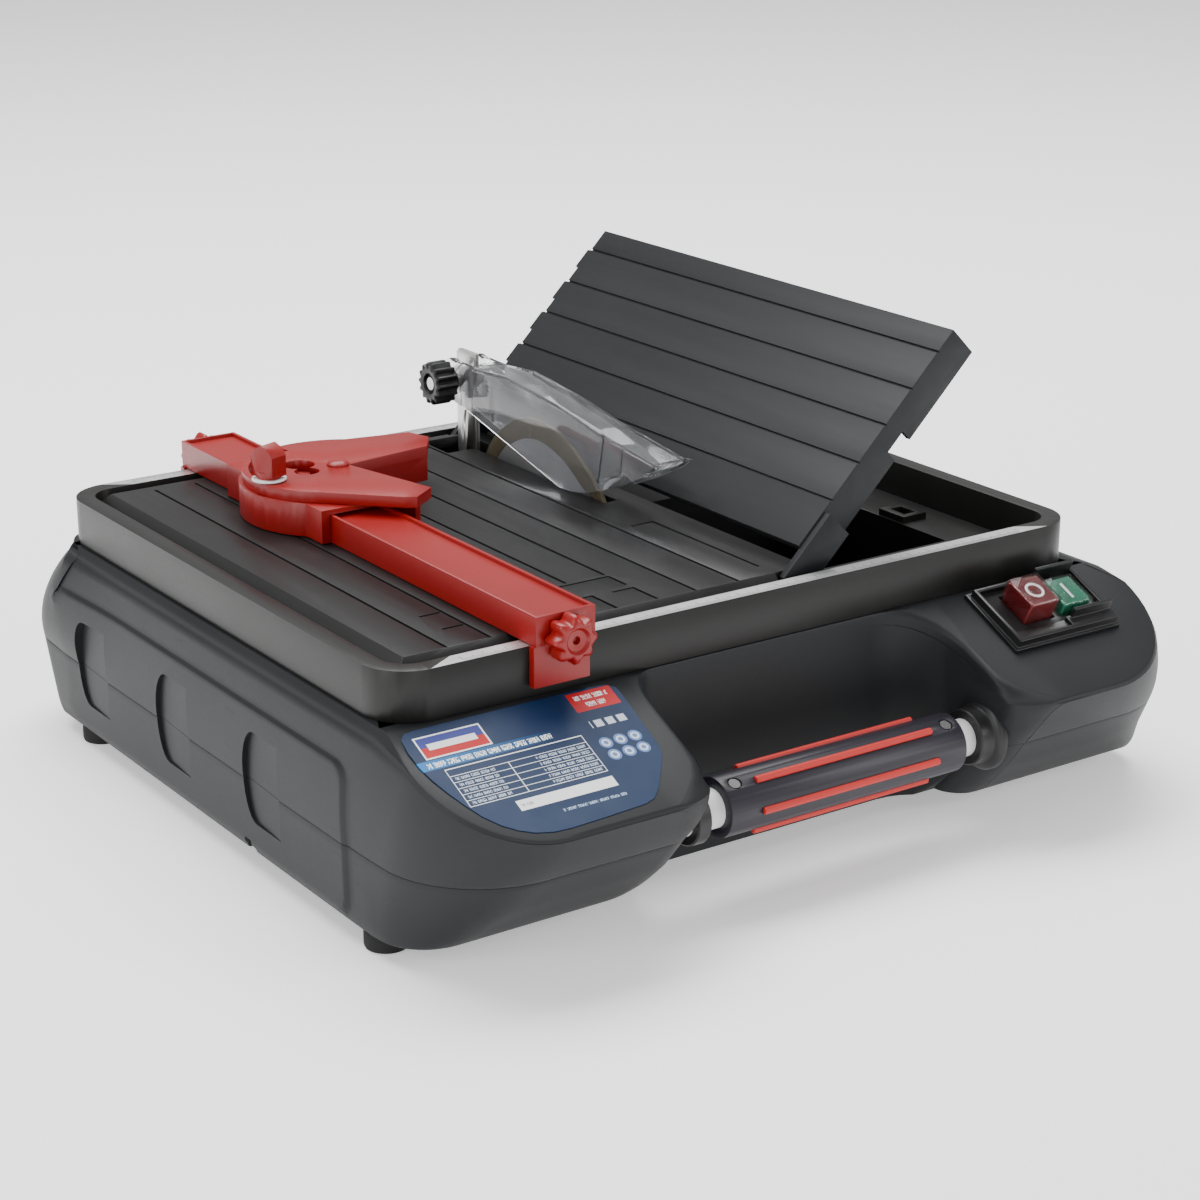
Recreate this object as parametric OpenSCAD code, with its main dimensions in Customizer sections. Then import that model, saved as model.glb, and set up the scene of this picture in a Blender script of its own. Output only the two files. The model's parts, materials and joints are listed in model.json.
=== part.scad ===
// Bench-top wet tile saw: 115 mm diamond blade, water tray, fixed table, tilting
// table, rip fence with angle guide, clear blade guard and carrying handle.
// Every piece is drawn from the tray rim's front left corner and then placed.

/* [Tray and tables] */
// outside width of the tray rim
rim_x = 348; // [320:1:380]
// outside depth of the tray rim
rim_y = 290; // [270:1:320]
// width of the rim's flat top
rim_w = 8.3; // [6:0.1:12]
// height of the table top above the bench
table_h = 113; // [100:1:140]
// wall thickness of the moulded tray
tray_wall = 3; // [2:0.5:4]
// width of a groove in the tables
groove_w = 1.3; // [0.8:0.1:2]
// depth of a groove in the tables
groove_d = 0.9; // [0.5:0.1:1.5]
// angle at which the tilting table stands
tilt = 45; // [0:1:45]

/* [Blade] */
// outside diameter of the blade
blade_d = 115; // [100:1:125]
// diameter of the hole in the blade
bore_d = 22.23; // [20:0.01:25.4]
// thickness of the blade
blade_t = 2; // [1.2:0.1:3]
// height of the blade above the table
blade_rise = 26.2; // [15:0.1:32]
// width of the diamond rim
diamond_w = 8.5; // [5:0.5:12]

/* [Guard] */
// outside width of the clear guard
guard_w = 17; // [14:0.5:24]
// wall thickness of the clear guard
guard_wall = 2; // [1.5:0.1:3]
// diameter of the fluted guard knob
guard_knob_d = 20.5; // [16:0.5:28]

/* [Fence] */
// left side of the fence beam
fence_x = 62.5; // [35:0.5:90]
// width of the fence beam
fence_w = 27; // [20:0.5:35]
// height of the fence beam
fence_h = 12.5; // [10:0.5:16]
// thickness of the beam's walls
fence_wall = 2; // [1.5:0.1:3]
// diameter of the two fence knobs
fence_knob_d = 20; // [16:0.5:26]
// position of the angle guide along the beam
guide_y = 196; // [60:1:220]
// radius of the angle guide's base
guide_r = 43.5; // [38:0.5:50]

/* [Body] */
// wall thickness of the two shells
shell_wall = 3; // [2:0.5:4]
// slope of the front facet below level
facet = 25; // [15:1:35]
// height of the rubber feet
foot_h = 8; // [5:0.5:14]
// diameter of the rubber feet
foot_d = 18; // [14:0.5:26]

/* [Handle] */
// diameter of the handle tube
tube_d = 16; // [12:0.5:20]
// diameter of the grip sleeve
grip_d = 24.8; // [20:0.1:30]
// number of raised strips round the grip
strips = 6; // [4:1:8]

/* [Drive] */
// teeth on the motor pinion
pinion_teeth = 10; // [9:1:12]
// teeth on the spindle gear
gear_teeth = 37; // [34:1:38]
// tooth module of the pair
tooth = 1; // [0.9:0.05:1.05]

/* [Hidden] */
$fn = 48;
mid_x = 184;
mid_y = 130;
e = 0.01;
slack = 0.3;
run = 0.05;
rim_h = 20.6;
ledge_z = -16;
floor_z = -92;
basin_x = [24, 313];
basin_y = [47, 262];
seam_z = -72;
body_z = foot_h - table_h;
blade_x = 193.2;
blade_y = 190;
blade_z = blade_rise - blade_d / 2;
hinge_x = 200;
hinge_z = -11.3;
pin_r = 2;
bolt_y = 255;
bolt_z = 32;
bolt_r = 3;
guard_x = 185.5;
axis_x = fence_x + fence_w / 2;
stud_x = 75.5;
stud_z = 3;
stud_r = 2.5;
rivet_x = 90;
clamp_x = 54;
clamp_y = guide_y - 4;
plate_z = 15.2;
plate_t = 4.8;
handle_y = -36;
handle_z = -68.5;
gear_dist = tooth * (pinion_teeth + gear_teeth) / 2;
motor_z = blade_z - gear_dist;
can_r = 33;
tunnel_x = 203;
panel_x = [218, 331];
panel_y = [16.6, 272];
panel_drop = 15.7;
screw_at = [[8, 60], [8, 230], [347, 60], [347, 230], [80, 284], [290, 284]];
foot_at = [[3, 11], [3, 268], [365, 11], [365, 268]];

charcoal = [0.19, 0.2, 0.21];
black = [0.06, 0.06, 0.065];
red = [0.75, 0.08, 0.06];
steel = [0.7, 0.71, 0.73];
clear = [0.8, 0.85, 0.9, 0.4];

// ---- helpers ----

module place() {
  translate([-mid_x, -mid_y, table_h]) children();
}

// box given by its limits on each axis
module span(x, y, z) {
  translate([x[0], y[0], z[0]]) cube([x[1] - x[0], y[1] - y[0], z[1] - z[0]]);
}

// box with upright rounded corners
module round_span(x, y, z, r) {
  span([x[0] + r, x[1] - r], y, z);
  span(x, [y[0] + r, y[1] - r], z);
  for (cx = [x[0] + r, x[1] - r]) {
    for (cy = [y[0] + r, y[1] - r]) {
      translate([cx, cy, z[0]]) cylinder(r = r, h = z[1] - z[0]);
    }
  }
}

// rod along X through (y, z)
module rod_x(x, y, z, r) {
  translate([x[0], y, z]) rotate([0, 90, 0]) cylinder(r = r, h = x[1] - x[0]);
}

// rod along Y through (x, z)
module rod_y(y, x, z, r) {
  translate([x, y[0], z]) rotate([-90, 0, 0]) cylinder(r = r, h = y[1] - y[0]);
}

// flat outline in (y, z) drawn out along X
module slab_x(x, points) {
  translate([x[0], 0, 0]) rotate([90, 0, 90]) linear_extrude(x[1] - x[0]) polygon(points);
}

// flat outline in (x, z) drawn out along Y
module slab_y(y, points) {
  translate([0, y[1], 0]) rotate([90, 0, 0]) linear_extrude(y[1] - y[0]) polygon(points);
}

module slab_z(z, points) {
  translate([0, 0, z[0]]) linear_extrude(z[1] - z[0]) polygon(points);
}

// local frame of the sloping front facet: y up the slope, z out of it
module on_facet() {
  translate([0, -3, -rim_h]) rotate([facet, 0, 0]) children();
}

module facet_span(x, t, h) {
  on_facet() span(x, t, h);
}

// local frame of the tilting table: drawn flat, then raised about its hinge
module raised() {
  translate([hinge_x, 0, hinge_z])
    rotate([0, -tilt, 0])
      translate([-hinge_x, 0, -hinge_z]) children();
}

function polar(r, a) = [r * cos(a), r * sin(a)];

// outline of a toothed wheel with one tooth centred on angle a0
function wheel(n, a0) = [
  for (i = [0 : n - 1]) for (k = [-1, 1]) for (s = (k < 0 ? [0, 1] : [1, 0]))
    let (pitch = 360 / n)
    polar(
      tooth * n / 2 + (s == 1 ? 0.9 : -1.15) * tooth,
      a0 + i * pitch + k * pitch * (s == 1 ? 0.12 : 0.33)
    )
];

// outline of a grip knob: n lobes between radius a and radius b
function lobes(n, a, b, steps) = [
  for (i = [0 : n * steps - 1])
    polar((a + b) / 2 + (b - a) / 2 * cos(i * 360 / steps), i * 360 / (n * steps))
];

// ---- body ----

// rounded outline of the body at one height, pulled in by d; the rear corners
// have their own radius
module body_ring(x, y, r, rear, z, d) {
  for (cx = [0, 1]) {
    for (c = [[0, r], [1, rear]]) {
      q = c[1];
      translate([cx == 0 ? x[0] + q : x[1] - q, c[0] == 0 ? y[0] + q : y[1] - q, z])
        cylinder(r = q - d, h = 0.2, $fn = 32);
    }
  }
}

// sloping front deck, drawn in plan and sheared down to the facet
module deck(d) {
  s = tan(facet);
  points = [
    [-4, 2], [-4.4, -20], [-1, -38], [7, -51], [20, -60], [37, -64], [60, -65],
    [290, -65], [325, -62], [343, -54], [355, -40], [361, -20], [362, 2]
  ];
  translate([0, 0, -rim_h - 3 * s - d / cos(facet)])
    multmatrix([[1, 0, 0, 0], [0, 1, 0, 0], [0, s, 1, 0], [0, 0, 0, 1]])
      translate([0, 0, -0.2]) linear_extrude(0.2) offset(delta = -d) polygon(points);
}

// upper and lower halves of the body, closed along the seam
module upper_form(d) {
  hull() {
    body_ring([-2, 361], [-3, 294], 20, 20, -rim_h - 0.2 - d, d);
    deck(d);
    body_ring([-8, 376], [-49, 325], 45, 28, seam_z - (d > 0 ? 0.1 : 0), d);
  }
}

module lower_form(d) {
  hull() {
    body_ring([-8, 376], [-49, 325], 45, 28, seam_z - (d > 0 ? 0.1 : 0.2), d);
    body_ring([-7.5, 376], [-36, 318], 40, 27, -88, d);
    body_ring([-6, 376], [-18, 300], 14, 14, body_z + d, d);
  }
}

// opening in front of the tray that the hand reaches through, grown by d
module hand_space(d) {
  hull() {
    slab_z([-10, -9], [
      [107.6 - d, -90], [107.6 - d, -4 + d], [241.7 + d, -4 + d],
      [258.5 + d, -21 + d], [259 + d, -90]
    ]);
    slab_z([body_z - 1, body_z], [
      [107.6 - d, -90], [107.6 - d, -4 + d], [249 + d, -4 + d],
      [266 + d, -21 + d], [267 + d, -90]
    ]);
  }
}

// cut for the hand opening and the ends of the handle tube
module handle_cut() {
  hand_space(0);
  rod_x([100, 275], handle_y, handle_z, tube_d / 2);
}

module upper_shell() {
  boss_r = 5;
  color(charcoal) place() difference() {
    union() {
      difference() {
        upper_form(0);
        difference() {
          upper_form(shell_wall);
          hand_space(shell_wall);
        }
      }
      for (p = screw_at) {
        translate([p[0], p[1], seam_z])
          cylinder(r = boss_r, h = -rim_h - 1 - seam_z);
      }
    }
    handle_cut();
    span([20, 317], [43, 266], [-60, 0]);
    facet_span([289, 333], [-30, -6], [-10, 10]);
    for (p = screw_at) {
      translate([p[0], p[1], seam_z - e]) cylinder(r = 2, h = 16);
    }
  }
}

module lower_shell() {
  boss_r = 5;
  vent = 4;
  color(charcoal) place() difference() {
    union() {
      difference() {
        lower_form(0);
        difference() {
          lower_form(shell_wall);
          hand_space(shell_wall);
        }
      }
      for (p = screw_at) {
        translate([p[0], p[1], body_z + 1]) cylinder(r = boss_r, h = seam_z - body_z - 1);
      }
      for (y = [70, 250]) {
        span([40, 300], [y - 2, y + 2], [body_z + 1, floor_z - tray_wall]);
      }
    }
    handle_cut();
    for (p = screw_at) {
      translate([p[0], p[1], body_z - 1]) cylinder(r = 2.2, h = 40);
      translate([p[0], p[1], body_z - 1]) cylinder(r = 4.2, h = 7);
    }
    for (p = foot_at) {
      translate([p[0], p[1], body_z - 1]) cylinder(r = 3, h = 10);
    }
    for (i = [0 : 5]) {
      span([240 + i * 10, 240 + i * 10 + vent], [165, 215], [body_z - 1, body_z + 5]);
    }
    rod_y([300, 330], 330, -85, 7);
  }
}

module base_screws() {
  color(steel) place() for (p = screw_at) {
    translate([p[0], p[1], body_z + 3.2]) cylinder(r = 4, h = 2.8);
    translate([p[0], p[1], body_z + 5]) cylinder(r = 2, h = seam_z + 12 - body_z - 5);
  }
}

module rubber_feet() {
  color(black) place() for (p = foot_at) {
    translate([p[0], p[1], -table_h]) difference() {
      union() {
        cylinder(r1 = foot_d / 2 - 0.8, r2 = foot_d / 2, h = 1);
        translate([0, 0, 1]) cylinder(r = foot_d / 2, h = foot_h - 1);
        translate([0, 0, foot_h - e]) cylinder(r = 3, h = shell_wall + 2);
      }
      translate([0, 0, -1]) cylinder(r = 4, h = 4);
    }
  }
}

module label_plate() {
  s = cos(facet);
  color([0.12, 0.25, 0.4]) place() on_facet() slab_z([0, 0.4], [
    [3.6, -0.6 / s], [92.3, -1.4 / s], [98, -3.5 / s], [96.7, -35.8 / s],
    [80.6, -55 / s], [39, -59 / s], [26, -55.5 / s], [11.2, -42.6 / s],
    [4.6, -28.8 / s], [1.5, -18.7 / s]
  ]);
}

module cable_gland() {
  color(black) place() difference() {
    union() {
      rod_y([303, 324], 330, -85, 7);
      translate([330, 307, -85]) rotate([-90, 0, 0]) cylinder(r = 9.5, h = 5, $fn = 6);
    }
    rod_y([302, 325], 330, -85, 3.6);
  }
}

// ---- tray and tables ----

module water_tray() {
  tw = tray_wall;
  color(black) place() difference() {
    union() {
      round_span([0, rim_x], [0, rim_y], [-rim_h, 0], 20);
      span(
        [basin_x[0] - tw, basin_x[1] + tw], [basin_y[0] - tw, basin_y[1] + tw],
        [floor_z - tw, -rim_h + 1]
      );
    }
    difference() {
      union() {
        round_span([rim_w, rim_x - rim_w], [rim_w, rim_y - rim_w], [ledge_z, 1], 12);
        span(basin_x, basin_y, [floor_z, 0]);
      }
      motor_tunnel(0);
      span([314, 327.5], [77, 94], [ledge_z - 1, ledge_z + 3]);
      span([blade_x + blade_t, tunnel_x], [250, 263], [-62, -20]);
    }
    motor_tunnel(2.5);
    rod_x([tunnel_x - 1, tunnel_x + 4], blade_y, blade_z, 9);
    span([317.5, 324], [80.5, 90.5], [ledge_z - 1, ledge_z + 4]);
    for (z = [-30, -50]) rod_x([190, tunnel_x - 2], 257, z, 2);
    rule_strip(-0.8, 0.5);
    translate([0, rim_y, 0]) mirror([0, 1, 0]) rule_strip(-0.8, 0.5);
  }
}

// dry housing over the motor inside the basin, pulled in by d
module motor_tunnel(d) {
  y = [142 + d, 243 - d];
  bottom = floor_z - (d > 0 ? tray_wall + 1 : 0);
  span([tunnel_x + d, 219 + d], y, [bottom, ledge_z - d]);
  span([218 + d, basin_x[1] + (d > 0 ? 0 : 1)], y, [bottom, -6 - d]);
}

module rule_strip(z0, z1) {
  slab_z([z0, z1], [[18.9, 0.4], [329, 0.4], [316.4, 7.9], [31.6, 7.9]]);
}

module front_rule() {
  color(steel) place() rule_strip(-0.8, 0);
}

module rear_rule() {
  color(steel) place() translate([0, rim_y, 0]) mirror([0, 1, 0]) rule_strip(-0.8, 0);
}

// solid outline of the fixed table with its bevelled edges
module table_block() {
  intersection() {
    slab_y([12.7, 277.7], [
      [12.5, ledge_z], [12.5, -4.1], [16.6, 0], [209, 0], [217, -8], [217, ledge_z]
    ]);
    slab_x([0, 230], [
      [12.7, ledge_z], [12.7, -4.3], [17, 0], [273.4, 0], [277.7, -4.3], [277.7, ledge_z]
    ]);
  }
}

module fixed_table() {
  g = groove_w / 2;
  t = 5;
  deep = [-groove_d, 1];
  color(charcoal) place() difference() {
    table_block();
    difference() {
      union() {
        span([15.5, 208], [15.7, 274.7], [ledge_z - 1, -t]);
        slab_y([15.7, 274.7], [[200, -17], [200, -t], [206.5, -t], [214, -12.5], [214, -17]]);
      }
      span([190, 218], [17, 20], [ledge_z, 0]);
      span([190, 218], [268.6, 271.6], [ledge_z, 0]);
    }
    for (y = [[12, 17], [271.6, 278]]) span([193, 218], y, [ledge_z - 1, 1]);
    for (y = [[16, 21], [268, 272]]) rod_y(y, hinge_x, hinge_z, pin_r + run);
    span([190.5, 198], [137, 246], [-20, 1]);
    span([176, 200], [245, 268.6], [-20, 1]);
    for (x = [35.6, 55.4, 75.2, 95, 153, 174.2]) span([x - g, x + g], [17, 268], deep);
    for (x = [114.8, 133.8]) span([x - g, x + g], [54, 268], deep);
    span([192.5 - g, 192.5 + g], [27, 102 + g], deep);
    span([181, 192.5], [102 - g, 102 + g], deep);
    span([110, 134], [51.7 - g, 51.7 + g], deep);
    span([134 - g, 134 + g], [39, 51.7], deep);
    span([134.2 - g, 134.2 + g], [17.5, 34.4 + g], deep);
    span([124, 134], [34.4 - g, 34.4 + g], deep);
    span([114.6 - g, 114.6 + g], [17.5, 35 + g], deep);
    span([105, 114.6], [35 - g, 35 + g], deep);
    span([45, 55.4], [52.5 - g, 52.5 + g], deep);
    span([45, 55.4], [35.2 - g, 35.2 + g], deep);
  }
}

module tilt_panel() {
  t = 4;
  w = 2.5;
  x = panel_x;
  y = panel_y;
  lines = [23.5, 43, 62.7, 81.7, 101.3];
  color(charcoal) place() raised() difference() {
    union() {
      difference() {
        span(x, y, [-panel_drop, 0]);
        span([x[0] + w, x[1] - w], [y[0] + w, y[1] - w], [-panel_drop - 1, -t]);
        span([x[0] - 1, x[0] + w + e], [y[0] + w, y[1] - w], [-panel_drop - 1, -t - 1]);
      }
      for (i = [0 : 4]) {
        span([x[0] + lines[i] - 11, x[0] + lines[i]], [y[1] - 1, y[1] + 2.2], [-t, 0]);
      }
      panel_ear(13.2, y[0] - 0.1);
      panel_ear(y[1] + 0.1, 275.4);
      for (v = [[y[0] - 0.2, y[0] + 1], [y[1] - 1, y[1] + 0.2]]) {
        span([219, 236], v, [-panel_drop, -0.8]);
      }
    }
    for (l = lines) {
      span([x[0] + l - 0.6, x[0] + l + 0.6], [y[0] - 1, y[1] + 3], [-groove_d, 1]);
    }
    span([x[0] + 55.5, x[0] + 66.5], [y[0] - 1, y[0] + w + 1], [-panel_drop - 1, -10]);
    rod_y([10, 280], hinge_x, hinge_z, pin_r);
  }
}

// lug that carries the panel on its hinge pin
module panel_ear(y0, y1) {
  r = 4.4;
  slab_y([y0, y1], [
    [hinge_x, hinge_z - r], [hinge_x - 4, hinge_z + 1.5], [203, -1], [236, -1],
    [236, -panel_drop]
  ]);
  rod_y([y0, y1], hinge_x, hinge_z, r);
}

module hinge_pins() {
  color(steel) place() raised() {
    rod_y([13, 20.5], hinge_x, hinge_z, pin_r);
    rod_y([268, 275.6], hinge_x, hinge_z, pin_r);
  }
}

// ---- blade and drive ----

module diamond_blade() {
  r = blade_d / 2;
  x = [blade_x, blade_x + blade_t];
  color(steel) place() difference() {
    union() {
      difference() {
        rod_x(x, blade_y, blade_z, r);
        rod_x([x[0] - 1, x[1] + 1], blade_y, blade_z, r - diamond_w);
      }
      rod_x([x[0] + 0.2, x[1] - 0.2], blade_y, blade_z, r - diamond_w + e);
    }
    rod_x([x[0] - 1, x[1] + 1], blade_y, blade_z, bore_d / 2);
  }
}

module inner_flange() {
  x = blade_x + blade_t - 0.2;
  color(steel) place() difference() {
    union() {
      rod_x([x, x + 5], blade_y, blade_z, 18);
      rod_x([x - 1.4, x + 1], blade_y, blade_z, bore_d / 2);
    }
    rod_x([x - 5, x + 8], blade_y, blade_z, 5);
    rod_x([x - 1, x + 0.6], blade_y, blade_z, 5.6);
  }
}

module outer_flange() {
  x = blade_x + 0.2;
  color(steel) place() difference() {
    rod_x([x - 3, x], blade_y, blade_z, 18);
    rod_x([x - 8, x + 1], blade_y, blade_z, 5);
    rod_x([x - 0.8, x + 1], blade_y, blade_z, 12);
  }
}

module arbor_nut() {
  color(steel) place() difference() {
    translate([blade_x - 7.8, blade_y, blade_z]) rotate([0, 90, 0])
      cylinder(r = 9.5, h = 5, $fn = 6);
    rod_x([blade_x - 10, blade_x], blade_y, blade_z, 5);
  }
}

module spindle_shaft() {
  color(steel) place() {
    rod_x([blade_x - 9.5, 233], blade_y, blade_z, 5);
    rod_x([232, 237.8], blade_y, blade_z, 4);
  }
}

module spindle_gear() {
  color(steel) place() difference() {
    translate([222.5, blade_y, blade_z]) rotate([90, 0, 90])
      linear_extrude(9) polygon(wheel(gear_teeth, -90 + 180 / gear_teeth));
    rod_x([219, 232], blade_y, blade_z, 5);
  }
}

module motor_pinion() {
  color(steel) place() difference() {
    translate([222.5, blade_y, motor_z]) rotate([90, 0, 90])
      linear_extrude(9.5) polygon(wheel(pinion_teeth, 90));
    rod_x([219, 233], blade_y, motor_z, 2.5);
  }
}

module bearing(x, z, r, shaft) {
  difference() {
    rod_x(x, blade_y, z, r);
    rod_x([x[0] - 1, x[1] + 1], blade_y, z, shaft + run);
  }
}

module spindle_bearings() {
  color(steel) place() {
    bearing([207, 215], blade_z, 11, 5);
    bearing([233.6, 237.8], blade_z, 8, 4);
  }
}

module shaft_seal() {
  color(black) place() bearing([tunnel_x, tunnel_x + 2.5], blade_z, 9, 5);
}

module gear_housing() {
  x0 = tunnel_x + 2.5;
  color([0.6, 0.61, 0.63]) place() difference() {
    union() {
      rod_x([x0, 221], blade_y, blade_z, 12.6);
      rod_x([220.7, 234], blade_y, blade_z, 21.6);
      rod_x([220.7, 234], blade_y, motor_z, 14);
      span([220.7, 234], [blade_y - 14, blade_y + 14], [motor_z, blade_z]);
      rod_x([233, 238], blade_y, motor_z, can_r);
    }
    rod_x([222, 232], blade_y, blade_z, 20.2);
    rod_x([222, 233], blade_y, motor_z, 9);
    span([222, 232], [blade_y - 9, blade_y + 9], [motor_z, blade_z]);
    rod_x([x0 - 1, 207], blade_y, blade_z, 6);
    rod_x([x0 + 1.5, 215], blade_y, blade_z, 11);
    rod_x([214, 223], blade_y, blade_z, 7);
    rod_x([231, 233.6], blade_y, blade_z, 6);
    rod_x([233.6, 238 + e], blade_y, blade_z, 8);
    rod_x([232, 239], blade_y, motor_z, 6);
    rod_x([234, 239], blade_y, motor_z, 8);
    for (s = [-1, 1]) rod_x([230, 239], blade_y + s * 28, motor_z, 1.5);
  }
}

module armature_shaft() {
  color(steel) place() {
    rod_x([222.2, 233], blade_y, motor_z, 2.5);
    rod_x([232.5, 306.5], blade_y, motor_z, 4);
  }
}

module armature_core() {
  slots = 12;
  color([0.45, 0.33, 0.25]) place() difference() {
    rod_x([252, 284], blade_y, motor_z, 17);
    rod_x([251, 285], blade_y, motor_z, 4);
    for (i = [0 : slots - 1]) {
      translate([251, blade_y, motor_z]) rotate([i * 360 / slots, 0, 0])
        span([0, 40], [-1.2, 1.2], [11, 20]);
    }
  }
}

module commutator() {
  color([0.72, 0.45, 0.25]) place() difference() {
    rod_x([286, 297], blade_y, motor_z, 10);
    rod_x([285, 298], blade_y, motor_z, 4);
  }
}

module cooling_fan() {
  blades = 10;
  color(black) place() difference() {
    union() {
      rod_x([241, 242.5], blade_y, motor_z, 25);
      rod_x([242, 249], blade_y, motor_z, 7);
      for (i = [0 : blades - 1]) {
        translate([242, blade_y, motor_z]) rotate([i * 360 / blades, 0, 0])
          span([0, 6], [-0.7, 0.7], [6, 24]);
      }
    }
    rod_x([240, 250], blade_y, motor_z, 4);
  }
}

module motor_bearings() {
  color(steel) place() {
    bearing([234, 238], motor_z, 8, 4);
    bearing([300, 305], motor_z, 8, 4);
  }
}

module stator_core() {
  color([0.45, 0.46, 0.48]) place() difference() {
    rod_x([252, 284], blade_y, motor_z, can_r - 2);
    rod_x([251, 285], blade_y, motor_z, 17.6);
    for (s = [-1, 1]) {
      rod_x([251, 285], blade_y + s * 28, motor_z, 1.5);
      span([251, 285], [blade_y + s * 12 - 5, blade_y + s * 12 + 5], [motor_z + 17, motor_z + 24]);
      span([251, 285], [blade_y + s * 12 - 5, blade_y + s * 12 + 5], [motor_z - 24, motor_z - 17]);
    }
  }
}

module motor_can() {
  color([0.5, 0.51, 0.53]) place() difference() {
    union() {
      difference() {
        rod_x([238, 308], blade_y, motor_z, can_r);
        rod_x([237, 305], blade_y, motor_z, can_r - 2);
      }
      rod_x([299, 306], blade_y, motor_z, 10);
    }
    rod_x([298, 305], blade_y, motor_z, 8);
    rod_x([304, 309], blade_y, motor_z, 5);
    for (s = [-1, 1]) {
      rod_x([300, 309], blade_y + s * 28, motor_z, 1.5);
      rod_x([303, 309], blade_y + s * 16, motor_z - 14, 4);
      rod_x([303, 309], blade_y + s * 16, motor_z + 14, 4);
    }
  }
}

module brush_holders() {
  color([0.62, 0.5, 0.2]) place() for (s = [-1, 1]) {
    translate([291.5, blade_y, motor_z]) rotate([s * 55, 0, 0])
      span([-4, 4], [-4, 4], [10.3, can_r - 2.4]);
  }
}

module motor_bolts() {
  color(steel) place() for (s = [-1, 1]) {
    rod_x([234, 309], blade_y + s * 28, motor_z, 1.5);
    rod_x([308, 310.5], blade_y + s * 28, motor_z, 3);
  }
}

// ---- knife, guard ----

module riving_knife() {
  x = [blade_x, blade_x + blade_t];
  color(steel) place() difference() {
    slab_x(x, [
      [247, 45], [262, 45], [264, 43], [264, -4], [261.8, -12], [261.8, -60],
      [252, -60], [252, -22], [247, -5]
    ]);
    rod_x([x[0] - 1, x[1] + 1], bolt_y, bolt_z, bolt_r);
    for (z = [-30, -50]) rod_x([x[0] - 1, x[1] + 1], 257, z, 2);
  }
}

module knife_screws() {
  color(steel) place() for (z = [-30, -50]) difference() {
    union() {
      rod_x([blade_x - 3, blade_x], 257, z, 3.8);
      rod_x([blade_x - 1, tunnel_x - 2], 257, z, 2);
    }
    span([blade_x - 4, blade_x - 2], [252, 262], [z - 0.5, z + 0.5]);
  }
}

module guard_bolt() {
  x1 = guard_x + guard_w;
  color(steel) place() {
    rod_x([173, x1 + 4], bolt_y, bolt_z, bolt_r);
    translate([x1 + 0.2, bolt_y, bolt_z]) rotate([0, 90, 0])
      cylinder(r = 6, h = 4.2, $fn = 6);
    for (x = [[187.8, blade_x], [blade_x + blade_t, 200.2]]) rod_x(x, bolt_y, bolt_z, 4.2);
  }
}

// top edge of the guard from the tip back to the bolt
guard_top = [[87, 30], [93, 29.2], [133.6, 33.7], [170, 39.4], [209.6, 43.2], [233, 41.5]];
// lower edge of the guard from the bolt forward to the tip
guard_foot = [
  [240, 19], [165, 1.2], [158, 1.3], [150, 2.3], [141, 4.6], [132, 7.6], [122, 11.3],
  [110, 16.6], [99, 22], [91, 27]
];

module blade_guard() {
  x = [guard_x, guard_x + guard_w];
  w = guard_wall;
  nose_r = 10.5;
  round_end = [
    for (a = [110 : -12 : -58]) [bolt_y, bolt_z] + polar(nose_r, a)
  ];
  side = concat(guard_top, round_end, guard_foot);
  roof = concat(
    guard_top, [[239, 41.2], [239, 41.2 - w]],
    [for (i = [5 : -1 : 1]) guard_top[i] - [0, w]], [[90, 28.2]]
  );
  color(clear) place() difference() {
    union() {
      slab_x([x[0], x[0] + w], side);
      slab_x([x[1] - w, x[1]], side);
      slab_x(x, roof);
      slab_x(x, [[87, 30], [90.5, 29.2], [100, 22.8], [99, 21.6], [90.6, 27]]);
    }
    rod_x([x[0] - 1, x[1] + 1], bolt_y, bolt_z, bolt_r + run);
  }
}

module guard_knob() {
  r = guard_knob_d / 2;
  color(black) place() difference() {
    union() {
      translate([172, bolt_y, bolt_z]) rotate([90, 0, 90])
        linear_extrude(11) polygon(lobes(14, r, r - 1.8, 8));
      rod_x([182, guard_x - slack], bolt_y, bolt_z, 6.5);
    }
    rod_x([170, 188], bolt_y, bolt_z, bolt_r + run);
    rod_x([171, 173.5], bolt_y, bolt_z, 5);
  }
}

// ---- fence and angle guide ----

fence_y = [-4, 295];

module fence_beam() {
  x = [fence_x, fence_x + fence_w];
  y = fence_y;
  w = fence_wall;
  top = fence_h - 1.5;
  color(red) place() difference() {
    span(x, y, [0.4, fence_h]);
    span([x[0] + w, x[1] - w], [y[0] + w, y[1] - w], [0, top - w]);
    span([x[0] + 1.6, x[1] - 1.6], [y[0] + 1.6, y[1] - 1.6], [top, fence_h + 1]);
    for (v = [[y[0] - 1, y[0] + 3], [y[1] - 3, y[1] + 1]]) {
      rod_y(v, stud_x, stud_z, stud_r + 0.06);
    }
  }
}

// jaw hooked over the tray rim, drawn at the front
module jaw() {
  w = fence_wall;
  y0 = fence_y[0];
  difference() {
    union() {
      span([61.5, 87], [y0, -0.5], [ledge_z, 0.4]);
      span([66, 86], [y0 + w, -0.5], [-2, 8]);
      span([66, 86], [y0 + w, 2.5], [0.4, 8]);
    }
    rod_y([y0 - 1, 4], stud_x, stud_z, stud_r + 0.06);
  }
}

module front_jaw() {
  color(red) place() jaw();
}

module rear_jaw() {
  color(red) place() translate([0, fence_y[0] + fence_y[1], 0]) mirror([0, 1, 0]) jaw();
}

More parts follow.
